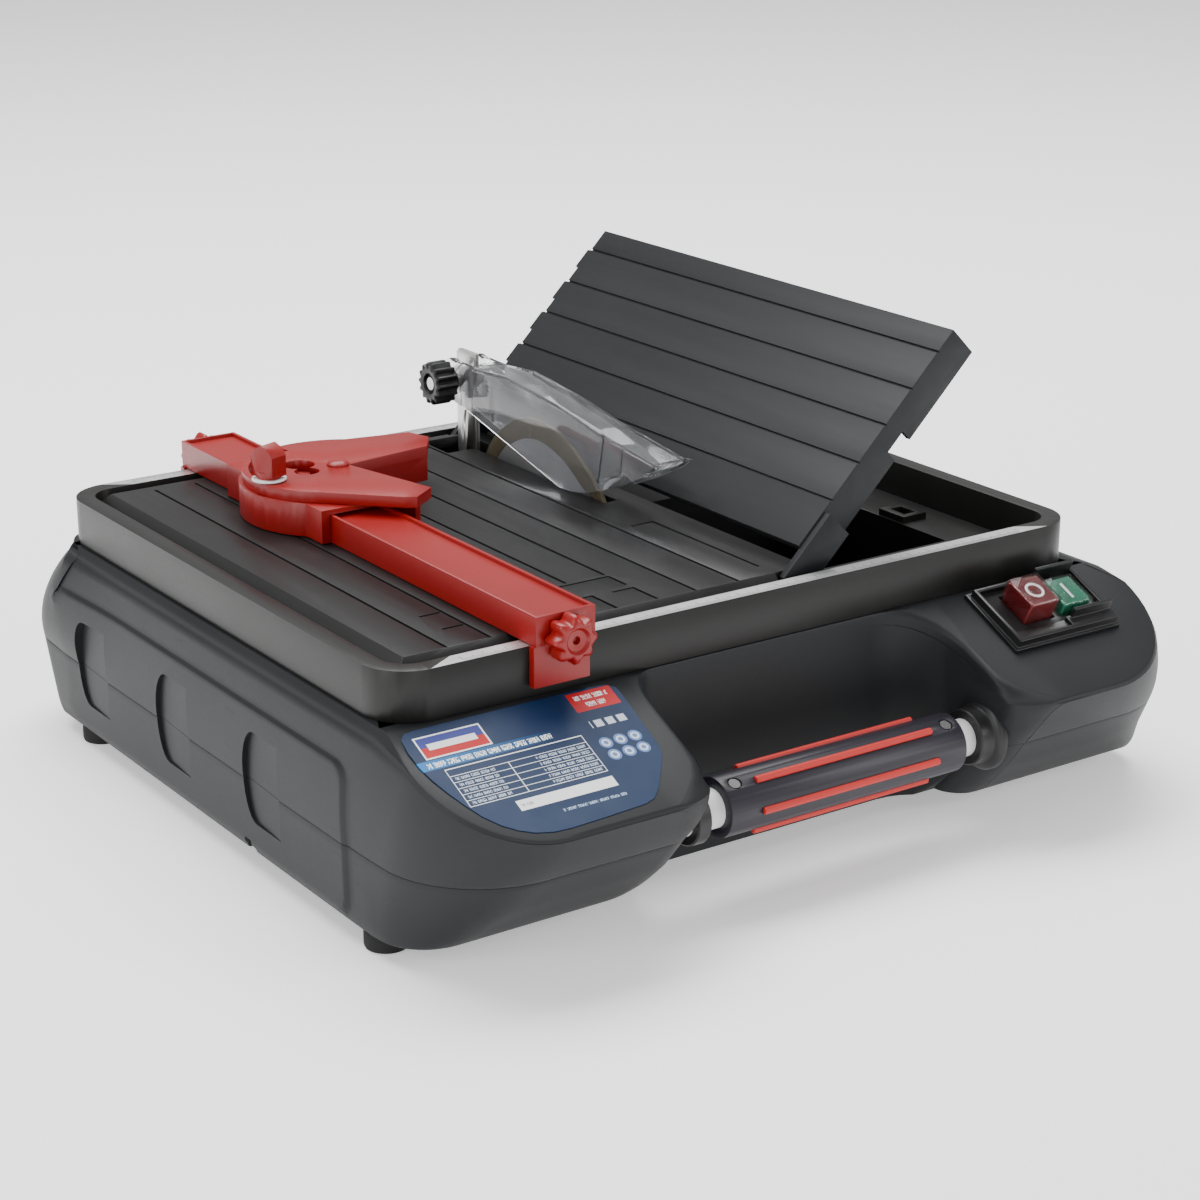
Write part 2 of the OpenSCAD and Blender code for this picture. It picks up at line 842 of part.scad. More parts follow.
// lobed clamping knob with its stud, drawn at the front
module fence_knob() {
  r = fence_knob_d / 2;
  y0 = fence_y[0] - slack;
  difference() {
    union() {
      translate([stud_x, y0, stud_z]) rotate([90, 0, 0])
        linear_extrude(8) polygon(lobes(8, r, r - 2.2, 10));
      rod_y([y0 - 9.2, y0 - 7], stud_x, stud_z, 6.4);
      rod_y([y0 - 1, 8], stud_x, stud_z, stud_r);
    }
    rod_y([y0 - 11, y0 - 5], stud_x, stud_z, 4.4);
  }
}

module fence_front_knob() {
  color(red) place() fence_knob();
}

module fence_rear_knob() {
  color(red) place() translate([0, fence_y[0] + fence_y[1], 0]) mirror([0, 1, 0]) fence_knob();
}

module guide_base() {
  h = [0.5, 15];
  y = [guide_y - 42.5, guide_y + 44.5];
  gap = 0.3;
  color(red) place() difference() {
    union() {
      intersection() {
        translate([rivet_x, guide_y, h[0]]) cylinder(r = guide_r, h = h[1] - h[0], $fn = 96);
        span([0, 80], [0, 300], [0, 20]);
      }
      span([58, fence_x + fence_w + 3], y, h);
    }
    span([fence_x - gap, fence_x + fence_w + gap], [y[0] - 1, y[1] + 1], [0, fence_h + gap]);
    translate([rivet_x, guide_y, fence_h]) cylinder(r = 3 + run, h = 5);
    translate([clamp_x, clamp_y, 4]) cylinder(r = stud_r, h = 20);
    translate([66, guide_y + 9, 13.2]) cylinder(r = 12, h = 5);
  }
}

module guide_bolt() {
  color(steel) place() translate([clamp_x, clamp_y, 4]) cylinder(r = stud_r, h = 26);
}

module protractor_plate() {
  z = [plate_z, plate_z + plate_t];
  c = [rivet_x, guide_y];
  slot_r = norm([clamp_x - rivet_x, clamp_y - guide_y]);
  slot_w = 5.6;
  color(red) place() difference() {
    union() {
      translate([c[0], c[1], z[0]]) cylinder(r = 42, h = plate_t, $fn = 96);
      slab_z(z, [
        c, [93, 235], [143, guide_y + 29], [146.5, guide_y + 17], [138, guide_y + 4.2],
        [94, guide_y - 2]
      ]);
      slab_z(z, [
        c, [94, guide_y - 2], [105.8, guide_y - 52.6], [93.7, guide_y - 61.4],
        [88.7, guide_y - 58], [58, guide_y - 27]
      ]);
      slab_z([4, z[0] + 1], [
        [114, guide_y + 0.9], [132, guide_y + 3.4], [138, guide_y + 4.2],
        [137.6, guide_y + 7.2], [114, guide_y + 3.9]
      ]);
      slab_z([4, z[0] + 1], [
        [98.7, guide_y - 22], [104.2, guide_y - 46], [101.3, guide_y - 46.7],
        [95.8, guide_y - 22.7]
      ]);
    }
    slab_z([z[0] - 1, z[1] + 1], [
      [94, guide_y - 2], [150, guide_y + 5.9], [150, guide_y - 70], [109.9, guide_y - 70]
    ]);
    translate([rivet_x, guide_y, z[0] - 1]) {
      cylinder(r = 3, h = 10);
      rotate([0, 0, 102]) rotate_extrude(angle = 90)
        translate([slot_r - slot_w / 2, 0]) square([slot_w, 10]);
      rotate([0, 0, 192]) translate([slot_r, 0, 0]) cylinder(r = slot_w / 2, h = 10);
    }
    translate([76, guide_y + 10, z[0] - 1]) cylinder(r = 7, h = 10);
    translate([74, guide_y - 1, z[0] - 1]) cylinder(r = 5.5, h = 10);
  }
}

module pivot_rivet() {
  top = plate_z + plate_t;
  color(red) place() translate([rivet_x, guide_y, 0]) {
    translate([0, 0, 12.9]) cylinder(r = 3, h = top - 12.4);
    intersection() {
      translate([0, 0, top - 3.6]) sphere(r = 6);
      translate([0, 0, top]) cylinder(r = 5, h = 4);
    }
  }
}

module wing_knob() {
  z = plate_z + plate_t + 1.3;
  color(red) place() translate([clamp_x, clamp_y, 0]) rotate([0, 0, 20]) difference() {
    union() {
      translate([0, 0, z]) cylinder(r = 5.2, h = 3);
      slab_x([-4.5, 4.5], [
        [-6, z + 1], [-6, z + 10], [-4, z + 13], [0, z + 15], [4, z + 13], [6, z + 10],
        [6, z + 1]
      ]);
    }
    translate([0, 0, z - 1]) cylinder(r = stud_r + run, h = 11.5);
  }
}

module knob_washer() {
  z = plate_z + plate_t + 0.3;
  color([0.9, 0.9, 0.9]) place() translate([clamp_x, clamp_y, z]) difference() {
    cylinder(r = 7.5, h = 1);
    translate([0, 0, -1]) cylinder(r = stud_r + run, h = 3);
  }
}

// ---- switch ----

red_well = [[291.2, 308.8], [-26.3, -8.2]];
green_well = [[312.2, 329.3], [-26.3, -8.7]];

module switch_housing() {
  color(black) place() difference() {
    union() {
      facet_span([278, 337.5], [-38, -1.5], [0, 1.5]);
      facet_span([280, 336], [-36.5, -3], [0, 5]);
      facet_span([289, 333], [-30, -6], [-22, 1]);
      facet_span([313.5, 335.5], [-31, -29.4], [4, 9.5]);
      facet_span([312.5, 334], [-5, -3.4], [4, 10]);
    }
    facet_span([282, 334], [-29.4, -5], [2.5, 12]);
    facet_span([282, 311], [-34.5, -5], [3, 12]);
    facet_span(red_well[0], red_well[1], [-18, 12]);
    facet_span(green_well[0], green_well[1], [-18, 12]);
  }
}

// coloured button inside its clear cap; h is the height of the cap's top
module button(well, h) {
  s = 1.3;
  facet_span(
    [well[0][0] + s, well[0][1] - s], [well[1][0] + s, well[1][1] - s], [h - 15, h - 1]
  );
}

module cap(well, h) {
  difference() {
    facet_span(
      [well[0][0] + slack, well[0][1] - slack], [well[1][0] + slack, well[1][1] - slack],
      [h - 14, h]
    );
    facet_span(
      [well[0][0] + 1.3, well[0][1] - 1.3], [well[1][0] + 1.3, well[1][1] - 1.3],
      [h - 16, h - 1]
    );
  }
}

module red_button() {
  color(red) place() button(red_well, 13);
}

module red_cap() {
  color(clear) place() cap(red_well, 13);
}

module green_button() {
  color([0.1, 0.5, 0.35]) place() button(green_well, 8);
}

module green_cap() {
  color(clear) place() cap(green_well, 8);
}

// ---- carrying handle ----

grip_x = [123, 243];

module handle_tube() {
  color([0.9, 0.9, 0.88]) place() difference() {
    rod_x([104.6, 268], handle_y, handle_z, tube_d / 2);
    rod_x([103, 270], handle_y, handle_z, tube_d / 2 - 2);
    for (x = [grip_x[0] + 6, grip_x[1] - 6]) grip_screw_hole(x, 1.4);
  }
}

module handle_collars() {
  color(black) place() for (x = [[107.6, 114], [252, 262]]) difference() {
    rod_x(x, handle_y, handle_z, 12);
    rod_x([x[0] - 1, x[1] + 1], handle_y, handle_z, tube_d / 2);
  }
}

// hole square to the handle, pointing up and forward
module grip_screw_hole(x, r) {
  translate([x, handle_y, handle_z]) rotate([27, 0, 0]) cylinder(r = r, h = 20);
}

module grip_strip_at(i, r0, r1) {
  translate([0, handle_y, handle_z]) rotate([-90 + 3 + i * 360 / strips, 0, 0])
    span([138, 228], [-1.6, 1.6], [r0, r1]);
}

module handle_grip() {
  r = grip_d / 2;
  color([0.09, 0.08, 0.11]) place() difference() {
    rod_x(grip_x, handle_y, handle_z, r);
    rod_x([grip_x[0] - 1, grip_x[1] + 1], handle_y, handle_z, tube_d / 2);
    for (i = [0 : strips - 1]) grip_strip_at(i, r - 1.4, r + 2);
    for (x = [grip_x[0] + 6, grip_x[1] - 6]) {
      grip_screw_hole(x, 1.4);
      translate([x, handle_y, handle_z]) rotate([27, 0, 0])
        translate([0, 0, r - 1.6]) cylinder(r = 3, h = 5);
    }
  }
}

module grip_strips() {
  r = grip_d / 2;
  color(red) place() for (i = [0 : strips - 1]) grip_strip_at(i, r - 1.4, r + 1.2);
}

module grip_screws() {
  r = grip_d / 2;
  color(steel) place() for (x = [grip_x[0] + 6, grip_x[1] - 6]) {
    translate([x, handle_y, handle_z]) rotate([27, 0, 0]) {
      translate([0, 0, tube_d / 2 - 2.5]) cylinder(r = 1.4, h = r - tube_d / 2 + 1.2);
      translate([0, 0, r - 1.6]) cylinder(r = 2.4, h = 1.2);
    }
  }
}

// ---- drawn nodes ----

upper_shell();
lower_shell();
base_screws();
rubber_feet();
water_tray();
front_rule();
rear_rule();
fixed_table();
tilt_panel();
hinge_pins();
diamond_blade();
inner_flange();
outer_flange();
arbor_nut();
spindle_shaft();
spindle_gear();
spindle_bearings();
shaft_seal();
gear_housing();
motor_pinion();
armature_shaft();
armature_core();
commutator();
cooling_fan();
motor_bearings();
stator_core();
motor_can();
brush_holders();
motor_bolts();
riving_knife();
knife_screws();
guard_bolt();
blade_guard();
guard_knob();
fence_beam();
front_jaw();
rear_jaw();
fence_front_knob();
fence_rear_knob();
guide_base();
guide_bolt();
protractor_plate();
pivot_rivet();
wing_knob();
knob_washer();
switch_housing();
red_button();
red_cap();
green_button();
green_cap();
label_plate();
cable_gland();
handle_tube();
handle_collars();
handle_grip();
grip_strips();
grip_screws();
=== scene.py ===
import json
import math

import bpy
import bmesh
import numpy as np
from mathutils import Matrix, Vector


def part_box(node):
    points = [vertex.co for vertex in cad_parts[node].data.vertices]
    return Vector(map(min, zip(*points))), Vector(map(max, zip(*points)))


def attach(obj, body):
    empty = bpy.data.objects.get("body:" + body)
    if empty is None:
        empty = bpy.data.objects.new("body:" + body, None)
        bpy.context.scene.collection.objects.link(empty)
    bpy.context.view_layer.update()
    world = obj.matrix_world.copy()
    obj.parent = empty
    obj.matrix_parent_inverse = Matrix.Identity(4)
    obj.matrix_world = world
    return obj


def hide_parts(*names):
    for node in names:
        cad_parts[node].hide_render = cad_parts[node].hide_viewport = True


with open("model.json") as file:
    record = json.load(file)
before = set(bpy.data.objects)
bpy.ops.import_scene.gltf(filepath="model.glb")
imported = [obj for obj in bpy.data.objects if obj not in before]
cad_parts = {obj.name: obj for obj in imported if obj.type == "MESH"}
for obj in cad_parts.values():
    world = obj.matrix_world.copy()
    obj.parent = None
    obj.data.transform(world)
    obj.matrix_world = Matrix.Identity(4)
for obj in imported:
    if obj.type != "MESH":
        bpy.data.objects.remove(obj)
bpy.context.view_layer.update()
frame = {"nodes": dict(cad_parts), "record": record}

# Studio: a pale seamless floor under large soft lamps, as for a shop's catalogue.
# The camera stands in front of the left corner and looks slightly down.
MM = 0.001
tray_low, tray_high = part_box("water_tray")
corner = Vector((tray_low.x, tray_low.y, tray_high.z))  # front left of the rim, at its top


def spot(x, y, z):
    """A point given in millimetres from the tray rim's front left corner."""
    return corner + Vector((x, y, z)) * MM


def linked(name, data):
    thing = bpy.data.objects.new(name, data)
    bpy.context.scene.collection.objects.link(thing)
    return thing


lens = bpy.data.cameras.new("eye")
lens.lens, lens.sensor_width = 80.48, 36
lens.clip_end = 60
eye = linked("eye", lens)
look = Vector((0.5360, 0.7788, -0.3259))
eye.matrix_world = (
    Matrix.Translation(spot(-456.3, -800.2, 347.0)) @ look.to_track_quat("-Z", "Y").to_matrix().to_4x4()
)
bpy.context.scene.camera = eye

for name, place, aim, size, power in (
    ("overhead", (0.1, 0.7, 2.2), (0, 0.05, 0.1), (2.6, 1.6), 105),
    ("left_bank", (-2.2, -0.3, 0.9), (0, 0, 0.05), (1.0, 1.4), 22),
    ("right_fill", (1.7, -1.9, 1.1), (0, 0, 0.05), (1.2, 1.0), 24),
    ("front_strip", (-0.9, -2.3, 0.6), (0, 0, 0.05), (1.2, 0.5), 8),
):
    lamp = bpy.data.lights.new(name, "AREA")
    lamp.shape, lamp.size, lamp.size_y, lamp.energy = "RECTANGLE", size[0], size[1], power
    held = linked(name, lamp)
    held.location = place
    held.rotation_euler = (Vector(aim) - Vector(place)).to_track_quat("-Z", "Y").to_euler()

sky = bpy.data.worlds.new("studio_air")
sky.use_nodes = True
sky.node_tree.nodes["Background"].inputs["Color"].default_value = (1, 1, 1, 1)
sky.node_tree.nodes["Background"].inputs["Strength"].default_value = 0.5
bpy.context.scene.world = sky


class Wire:
    """A value on its way through a node tree; sums on it add their Math nodes."""

    def __init__(self, tree, socket=None):
        self.tree, self.socket = tree, socket

    def feed(self, socket, value):
        if isinstance(value, Wire):
            self.tree.links.new(value.socket, socket)
        else:
            socket.default_value = value

    def node(self, kind, settings=None, out=0, **sockets):
        made = self.tree.nodes.new(kind)
        for key, value in (settings or {}).items():
            if key == "stops":
                points = made.color_ramp.elements
                while len(points) < len(value):
                    points.new(1)
                for point, (place, tone) in zip(points, value):
                    point.position, point.color = place, (*tone, 1) if len(tone) == 3 else tone
            else:
                setattr(made, key, value)
        for key, value in sockets.items():
            number = key[1:] if key[0] == "i" else ""
            socket = made.inputs[int(number) if number.isdigit() else key.replace("_", " ")]
            self.feed(socket, value)
        return Wire(self.tree, made.outputs[out])

    def maths(self, operation, first, second):
        kind = "ShaderNodeMath"
        return self.node(kind, {"operation": operation}, i0=first, i1=second)

    def __add__(self, other):
        return self.maths("ADD", self, other)

    __radd__ = __add__

    def __sub__(self, other):
        return self.maths("SUBTRACT", self, other)

    def __rsub__(self, other):
        return self.maths("SUBTRACT", other, self)

    def __mul__(self, other):
        return self.maths("MULTIPLY", self, other)

    __rmul__ = __mul__

    def __truediv__(self, other):
        return self.maths("DIVIDE", self, other)

    def __mod__(self, other):
        return self.maths("FLOORED_MODULO", self, other)

    def __gt__(self, other):
        return self.maths("GREATER_THAN", self, other)

    def __lt__(self, other):
        return self.maths("LESS_THAN", self, other)

    def power(self, other):
        return self.maths("POWER", self, other)

    def between(self, low, high):
        return (self > low) * (self < high)

    def mixed(self, first, second):
        """Two colours mixed by this value."""
        ends = [v if isinstance(v, Wire) else (*v, 1) for v in (first, second)]
        return self.node("ShaderNodeMix", {"data_type": "RGBA"}, 2, i0=self, i6=ends[0], i7=ends[1])

    def noise(self, place, size, detail=2.0, rough=0.5):
        return self.node(
            "ShaderNodeTexNoise", Vector=place, Scale=1 / (size * MM), Detail=detail, Roughness=rough
        )

    def stretched(self, place, x, y, z, turn=(0, 0, 0)):
        return self.node("ShaderNodeMapping", Vector=place, Scale=(x, y, z), Rotation=turn)


def material(name):
    """A new material, its shader and the object's own coordinates."""
    made = bpy.data.materials.new(name)
    made.use_nodes = True
    wire = Wire(made.node_tree)
    place = wire.node("ShaderNodeTexCoord", out=3)
    return made, made.node_tree.nodes["Principled BSDF"], wire, place


def shade(shader, wire, **sockets):
    for key, value in sockets.items():
        wire.feed(shader.inputs[key.replace("_", " ")], value)


paper, shader, wire, place = material("floor_paper")
shade(shader, wire, Base_Color=(0.93, 0.93, 0.93, 1), Specular_IOR_Level=0.1, Emission_Color=(1, 1, 1, 1),
      Emission_Strength=0.45, Roughness=wire.noise(place, 60, 3) * 0.2 + 0.7)
floor_half = 14
floor_mesh = bpy.data.meshes.new("floor")
floor_mesh.from_pydata(
    [(-floor_half, -floor_half, 0), (floor_half, -floor_half, 0),
     (floor_half, floor_half, 0), (-floor_half, floor_half, 0)], [], [(0, 1, 2, 3)]
)
floor = linked("floor", floor_mesh)
floor.data.materials.append(paper)

# Body: two injection-moulded charcoal shells with a fine spark-eroded skin, screwed
# together along a parting line half way up, with a hand opening through the front.
slot_of = {s["node"]: s["material_slot"] for s in frame["record"]["subparts"]}
body_of = {n: b for b, ns in frame["record"]["behaviour"]["bodies"].items() for n in ns}


def moulded(name, colour, rough, skin=0.03, grain=0.7, gloss=0.5, drift=0.2, coat=0.0):
    """Moulded plastic: slight tone drift, fine skin, handling scuffs and dulled patches."""
    made, shader, wire, place = material(name)
    cloud = wire.noise(place, 55, 4)
    fine = wire.noise(place, grain, 2)
    drag = wire.noise(wire.stretched(place, 1, 0.12, 1, (0, 0, 0.35)), 1.6, 3, 0.6)
    scuff = wire.node(
        "ShaderNodeValToRGB", {"stops": [(0.60, (0, 0, 0)), (0.78, (1, 1, 1))]}, Fac=drag
    )
    dark = [c * (1 - drift) for c in colour]
    pale = [min(1, c * (1 + drift) + 0.004) for c in colour]
    tone = cloud.mixed(dark, pale)
    worn = (scuff * (cloud > 0.46) * 0.10).mixed(tone, [min(1, c * 1.5 + 0.03) for c in colour])
    bumped = wire.node("ShaderNodeBump", Height=fine + drag * 0.25, Strength=0.5, Distance=skin * MM)
    shade(shader, wire, Base_Color=worn, Roughness=fine * 0.10 + cloud * 0.12 + scuff * 0.06 + (rough - 0.12),
          Normal=bumped, Specular_IOR_Level=gloss, Coat_Weight=coat, Coat_Roughness=0.25)
    return made


def plain_mesh(thing):
    """The thing again, its modifiers worked into a plain mesh."""
    bpy.context.view_layer.update()
    graph = bpy.context.evaluated_depsgraph_get()
    mesh = bpy.data.meshes.new_from_object(thing.evaluated_get(graph), depsgraph=graph)
    mesh.name = thing.name
    thing.modifiers.clear()
    thing.data = mesh
    return thing


def solid(name, points, faces, smooth=True):
    mesh = bpy.data.meshes.new(name)
    mesh.from_pydata([tuple(p) for p in points], [], faces)
    work = bmesh.new()
    work.from_mesh(mesh)
    bmesh.ops.remove_doubles(work, verts=work.verts, dist=1e-6)
    bmesh.ops.recalc_face_normals(work, faces=work.faces)
    work.to_mesh(mesh)
    work.free()
    mesh.polygons.foreach_set("use_smooth", [smooth] * len(mesh.polygons))
    mesh.set_sharp_from_angle(angle=math.radians(34))
    return linked(name, mesh)


def eased_edges(thing, width, angle=32, segments=2):
    """Rounds every edge sharper than angle to the given width in millimetres."""
    cut = thing.modifiers.new("edge", "BEVEL")
    cut.width, cut.segments, cut.limit_method = width * MM, segments, "ANGLE"
    cut.angle_limit, cut.harden_normals = math.radians(angle), True
    thing.data.polygons.foreach_set("use_smooth", [True] * len(thing.data.polygons))
    return plain_mesh(thing)


def carved(thing, cutter):
    cut = thing.modifiers.new("cut", "BOOLEAN")
    cut.operation, cut.solver, cut.object = "DIFFERENCE", "EXACT", cutter
    plain_mesh(thing)
    bpy.data.objects.remove(cutter)
    return thing


def fitted(thing, finish, *nodes, body=None, slot=None):
    """Gives a piece its finish and lets it stand for its CAD nodes."""
    thing.data.materials.clear()
    thing.data.materials.append(finish)
    thing.data.polygons.foreach_set("material_index", [0] * len(thing.data.polygons))
    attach(thing, body or body_of[nodes[0]])
    if nodes:
        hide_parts(*nodes)
    slot or slot_of[nodes[0]]
    return thing


def outline(box, radii):
    """Rounded rectangle with fixed stations, anticlockwise from the rear of the left side."""
    x0, x1, y0, y1 = box
    left_y = [*np.linspace(278, 30, 42), 27, 25, 23.5, 22, 20.5, 19, 16, 11, 5]
    points = [(x0, y) for y in left_y]
    centres = [(x0, y0, 1, 1, 180), (x1, y0, -1, 1, 270), (x1, y1, -1, -1, 0), (x0, y1, 1, -1, 90)]
    sides = [
        [(x, y0) for x in np.linspace(50, 296, 24)],
        [(x1, y) for y in np.linspace(0, 276, 30)],
        [(x, y1) for x in np.linspace(296, 50, 20)],
        [],
    ]
    for (cx, cy, sx, sy, start), (rx, ry), side in zip(centres, radii, sides):
        for a in np.radians(start + np.linspace(0, 90, 17)):
            points.append((cx + sx * rx + rx * math.cos(a), cy + sy * ry + ry * math.sin(a)))
        points += side
    return np.array(points)


def skinned(name, rings):
    """Closed solid through rings of equal point count."""
    count = len(rings[0])
    points = [spot(*p) for ring in rings for p in ring]
    faces = [tuple(range(count))[::-1], tuple(range(count * (len(rings) - 1), count * len(rings)))]
    for k in range(len(rings) - 1):
        for i in range(count):
            j = (i + 1) % count
            faces.append((k * count + i, k * count + j, (k + 1) * count + j, (k + 1) * count + i))
    return solid(name, points, faces)


def ease(t):
    t = np.clip(t, 0, 1)
    return t * t * (3 - 2 * t)


panel_y, panel_z = (151, 131), (-71, 32)  # middle and half size of the raised flank panel
panel_round, panel_proud = 9, 1.2
lip_z, lip_proud = -26.4, 0.5  # where the flank steps out below the lip under the tray


def panel_step(ring):
    """Pushes the left flank's large panel proud, below the lip under the tray."""
    x, y, z = ring.T
    off = np.stack([np.abs(at - middle) - reach + panel_round
                    for at, (middle, reach) in ((y, panel_y), (z, panel_z))])
    edge = np.hypot(*np.maximum(off, 0)) + np.minimum(off.max(0), 0) - panel_round
    proud = panel_proud * ease(-edge / 1.6) + lip_proud * ease((lip_z - z) / 0.8)
    ring[:, 0] -= np.where(x < 0, proud * ease((y - 1) / 6), 0)
    return ring


facet_angle = math.radians(25)
slope = math.tan(facet_angle)
facet_y, facet_z = -3, -20.6  # top edge of the sloping front facet
ridge_y, ridge_low = -65, -49.5  # its front edge, where the wall below it begins
seam_front, seam_drop = -49, 22.5  # front of the parting line, and its drop below the ridge


def facet_height(y):
    return facet_z + (y - facet_y) * slope


seam_z = (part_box("lower_shell")[1].z - corner.z) / MM
seam_radii = [(45, 45), (45, 45), (28, 28), (28, 28)]
seam_box = (-7.4, 375, seam_front, 325)
flat = np.ones((len(outline(seam_box, seam_radii)), 1))


def level(plan, z):
    return np.hstack([plan, flat * z])


def inset(plan, d):
    ahead, behind = np.roll(plan, -1, 0), np.roll(plan, 1, 0)
    way = ahead - behind
    way /= np.linalg.norm(way, axis=1)[:, None] + 1e-9
    return plan + np.stack([-way[:, 1], way[:, 0]], 1) * d


top_plan = outline((-1.2, 351, -3, 293), [(2, 2), (4, 4), (20, 20), (20, 20)])
ridge_plan = outline((-4, 362, ridge_y, 297), [(42, 46), (52, 48), (30, 30), (30, 30)])
ridge_z = np.minimum(-24, facet_height(ridge_plan[:, 1]))
ridge = np.hstack([ridge_plan, ridge_z[:, None]])
top = level(top_plan, -20.7)
seam = level(outline(seam_box, seam_radii), seam_z)
up = top - ridge
up /= np.linalg.norm(up, axis=1)[:, None]
down = seam - ridge
down /= np.linalg.norm(down, axis=1)[:, None]
rings = [level(outline((6, 342, 6, 284), [(14, 14)] * 4), -20.7), top]
ridge_round = 2.4
rings += [ridge + ridge_round * a * up + ridge_round * b * down
          for a, b in ((1, 0), (0.48, 0.09), (0.26, 0.26), (0.09, 0.48))]
outward = -np.hstack([inset(seam[:, :2], 1) - seam[:, :2], flat * 0])
bulge = (1.6 + 4 * ease((seam[:, 1] - 215) / 90))[:, None]
for t in (0.05, 0.066, 0.12, 0.2, 0.27, 0.305, 0.32, 0.335, 0.35, 0.38, 0.43,
          0.5, 0.6, 0.7, 0.8, 0.9, 0.975, 1):
    rings.append(panel_step(ridge + (seam - ridge) * t + outward * bulge * 4 * t * (1 - t)))
seam_gap, seam_ease = 0.25, 0.2
rings[-1][:, 2] += seam_gap
rings.append(rings[-1] - outward * seam_ease - [0, 0, seam_ease])
upper = skinned("upper_shell_skin", rings)

lower_z = [72, 88, 100, 105]  # depths at which the lower shell's outline is given
lower_front = [seam_front, -36, -24.5, -19]
eased_in = {-72.1: 0.2, -105: 0.9, -104.4: 0.2}
rings = []
for z in [-72.1, -72.6, -75, -78, -81, -84, -87, -90, -93, -96, -99, -101, -103, -104.4, -105]:
    x0, x1, y0, y1, left, right, rear = [
        np.interp(-z, lower_z, run)
        for run in ([-7.4, -7.2, -6.8, -6], [375, 375.6, 375.2, 375], lower_front,
                    [325, 318, 308, 301], [45, 38, 28, 22], [45, 34, 18, 12], [28, 27, 20, 14])
    ]
    plan = outline((x0, x1, y0, y1), [(left, left), (right, right), (rear, rear), (rear, rear)])
    rings.append(panel_step(level(inset(plan, eased_in.get(z, 0)), z)))
lower = skinned("lower_shell_skin", rings)


def prism(name, low, high, z0, z1):
    """Solid between two plan outlines with the same number of points."""
    return skinned(name, [[(*p, z0) for p in low], [(*p, z1) for p in high]])


def hand_plan(z, front=None):
    """Plan of the hand opening; with the front wall's y given, its sides swell out
    to meet that wall in an easy round."""
    drift = float(np.interp(-z, [20, 105], [0, 8]))
    back = [(107.6, -16), (107.9, -12), (109, -8), (110.8, -5.2), (113.2, -3), (116, -1.6), (119, -1)]
    side = [(228, -1), (234, -1.6), (239.6, -3.2), (244.6, -6), (248.9, -9.9), (252.3, -14.6), (254.6, -19.6)]
    side = [(x + drift, y) for x, y in side]
    end = 256.5 + drift
    if front is None:
        return [(107.6, -115), (107.6, -40)] + back + side + [(end, -27), (end + 0.5, -40), (end + 0.5, -115)]
    wide = float(np.interp(-z, [36, 41, 44, 46.5, 48.5, 49.6, 51, 53, 56, 62, 88, 96, 101, 105],
                           [2.5, 4, 8, 14, 20, 25, 20.5, 17, 14.8, 13, 13.5, 16.5, 21, 27]))
    wide_right = wide if z > -80 else 14
    deep, deep_right = min(wide, 13, -2 - front), min(wide_right, 13, -6 - front)
    back = [(x, max(y, front + deep)) for x, y in back]
    side = [(x, max(y, front + deep_right)) for x, y in side]
    bend = np.radians(np.linspace(0, 90, 11))
    left = [(107.6 - wide + wide * math.sin(a), front + deep - deep * math.cos(a)) for a in bend]
    right = [(end + wide_right * (1 - math.sin(a)), front + deep_right * (1 - math.cos(a)))
             for a in bend[::-1]]
    return [(left[0][0], -115)] + left + back + side + right + [(right[-1][0], -115)]


def front_wall(z):
    """How far forward the body's front stands at a height."""
    if z > ridge_low:
        return max(float(ridge_y), min(-27, facet_y + (z - facet_z) / slope))
    t = (ridge_low - z) / seam_drop
    if t < 1:
        return ridge_y + (seam_front - ridge_y) * t - 6.4 * t * (1 - t)
    return float(np.interp(-z, lower_z, lower_front))


def hand_cutters():
    """The opening itself, and the small round where it breaks the sloping facet."""
    rows = [-112, -105, -103.5, -102, -100.5, -99, -97, -94, -88, -80, -72, -66, -62, -59, -56, -54,
            -52.5, -51.3, -50.4, -49.6, -48.8, -48, -47, -45.5, -44, -42.5, -41, -38, -34, 10]
    yield skinned("hand", [[(*p, z) for p in hand_plan(z, front_wall(z) + 0.1)] for z in rows])
    plan = np.array(hand_plan(-40))
    rings = []
    for grow, sink in [(2.4, -4), (2.4, 0), (1.5, 0.18), (0.7, 0.7), (0.18, 1.5), (0, 2.4), (0, 6)]:
        ring = inset(plan, grow)
        rings.append(np.hstack([ring, facet_height(ring[:, 1:]) - sink]))
    yield skinned("facet_round", rings[::-1])


def box_plan(x0, x1, y0, y1):
    return [(x0, y0), (x1, y0), (x1, y1), (x0, y1)]


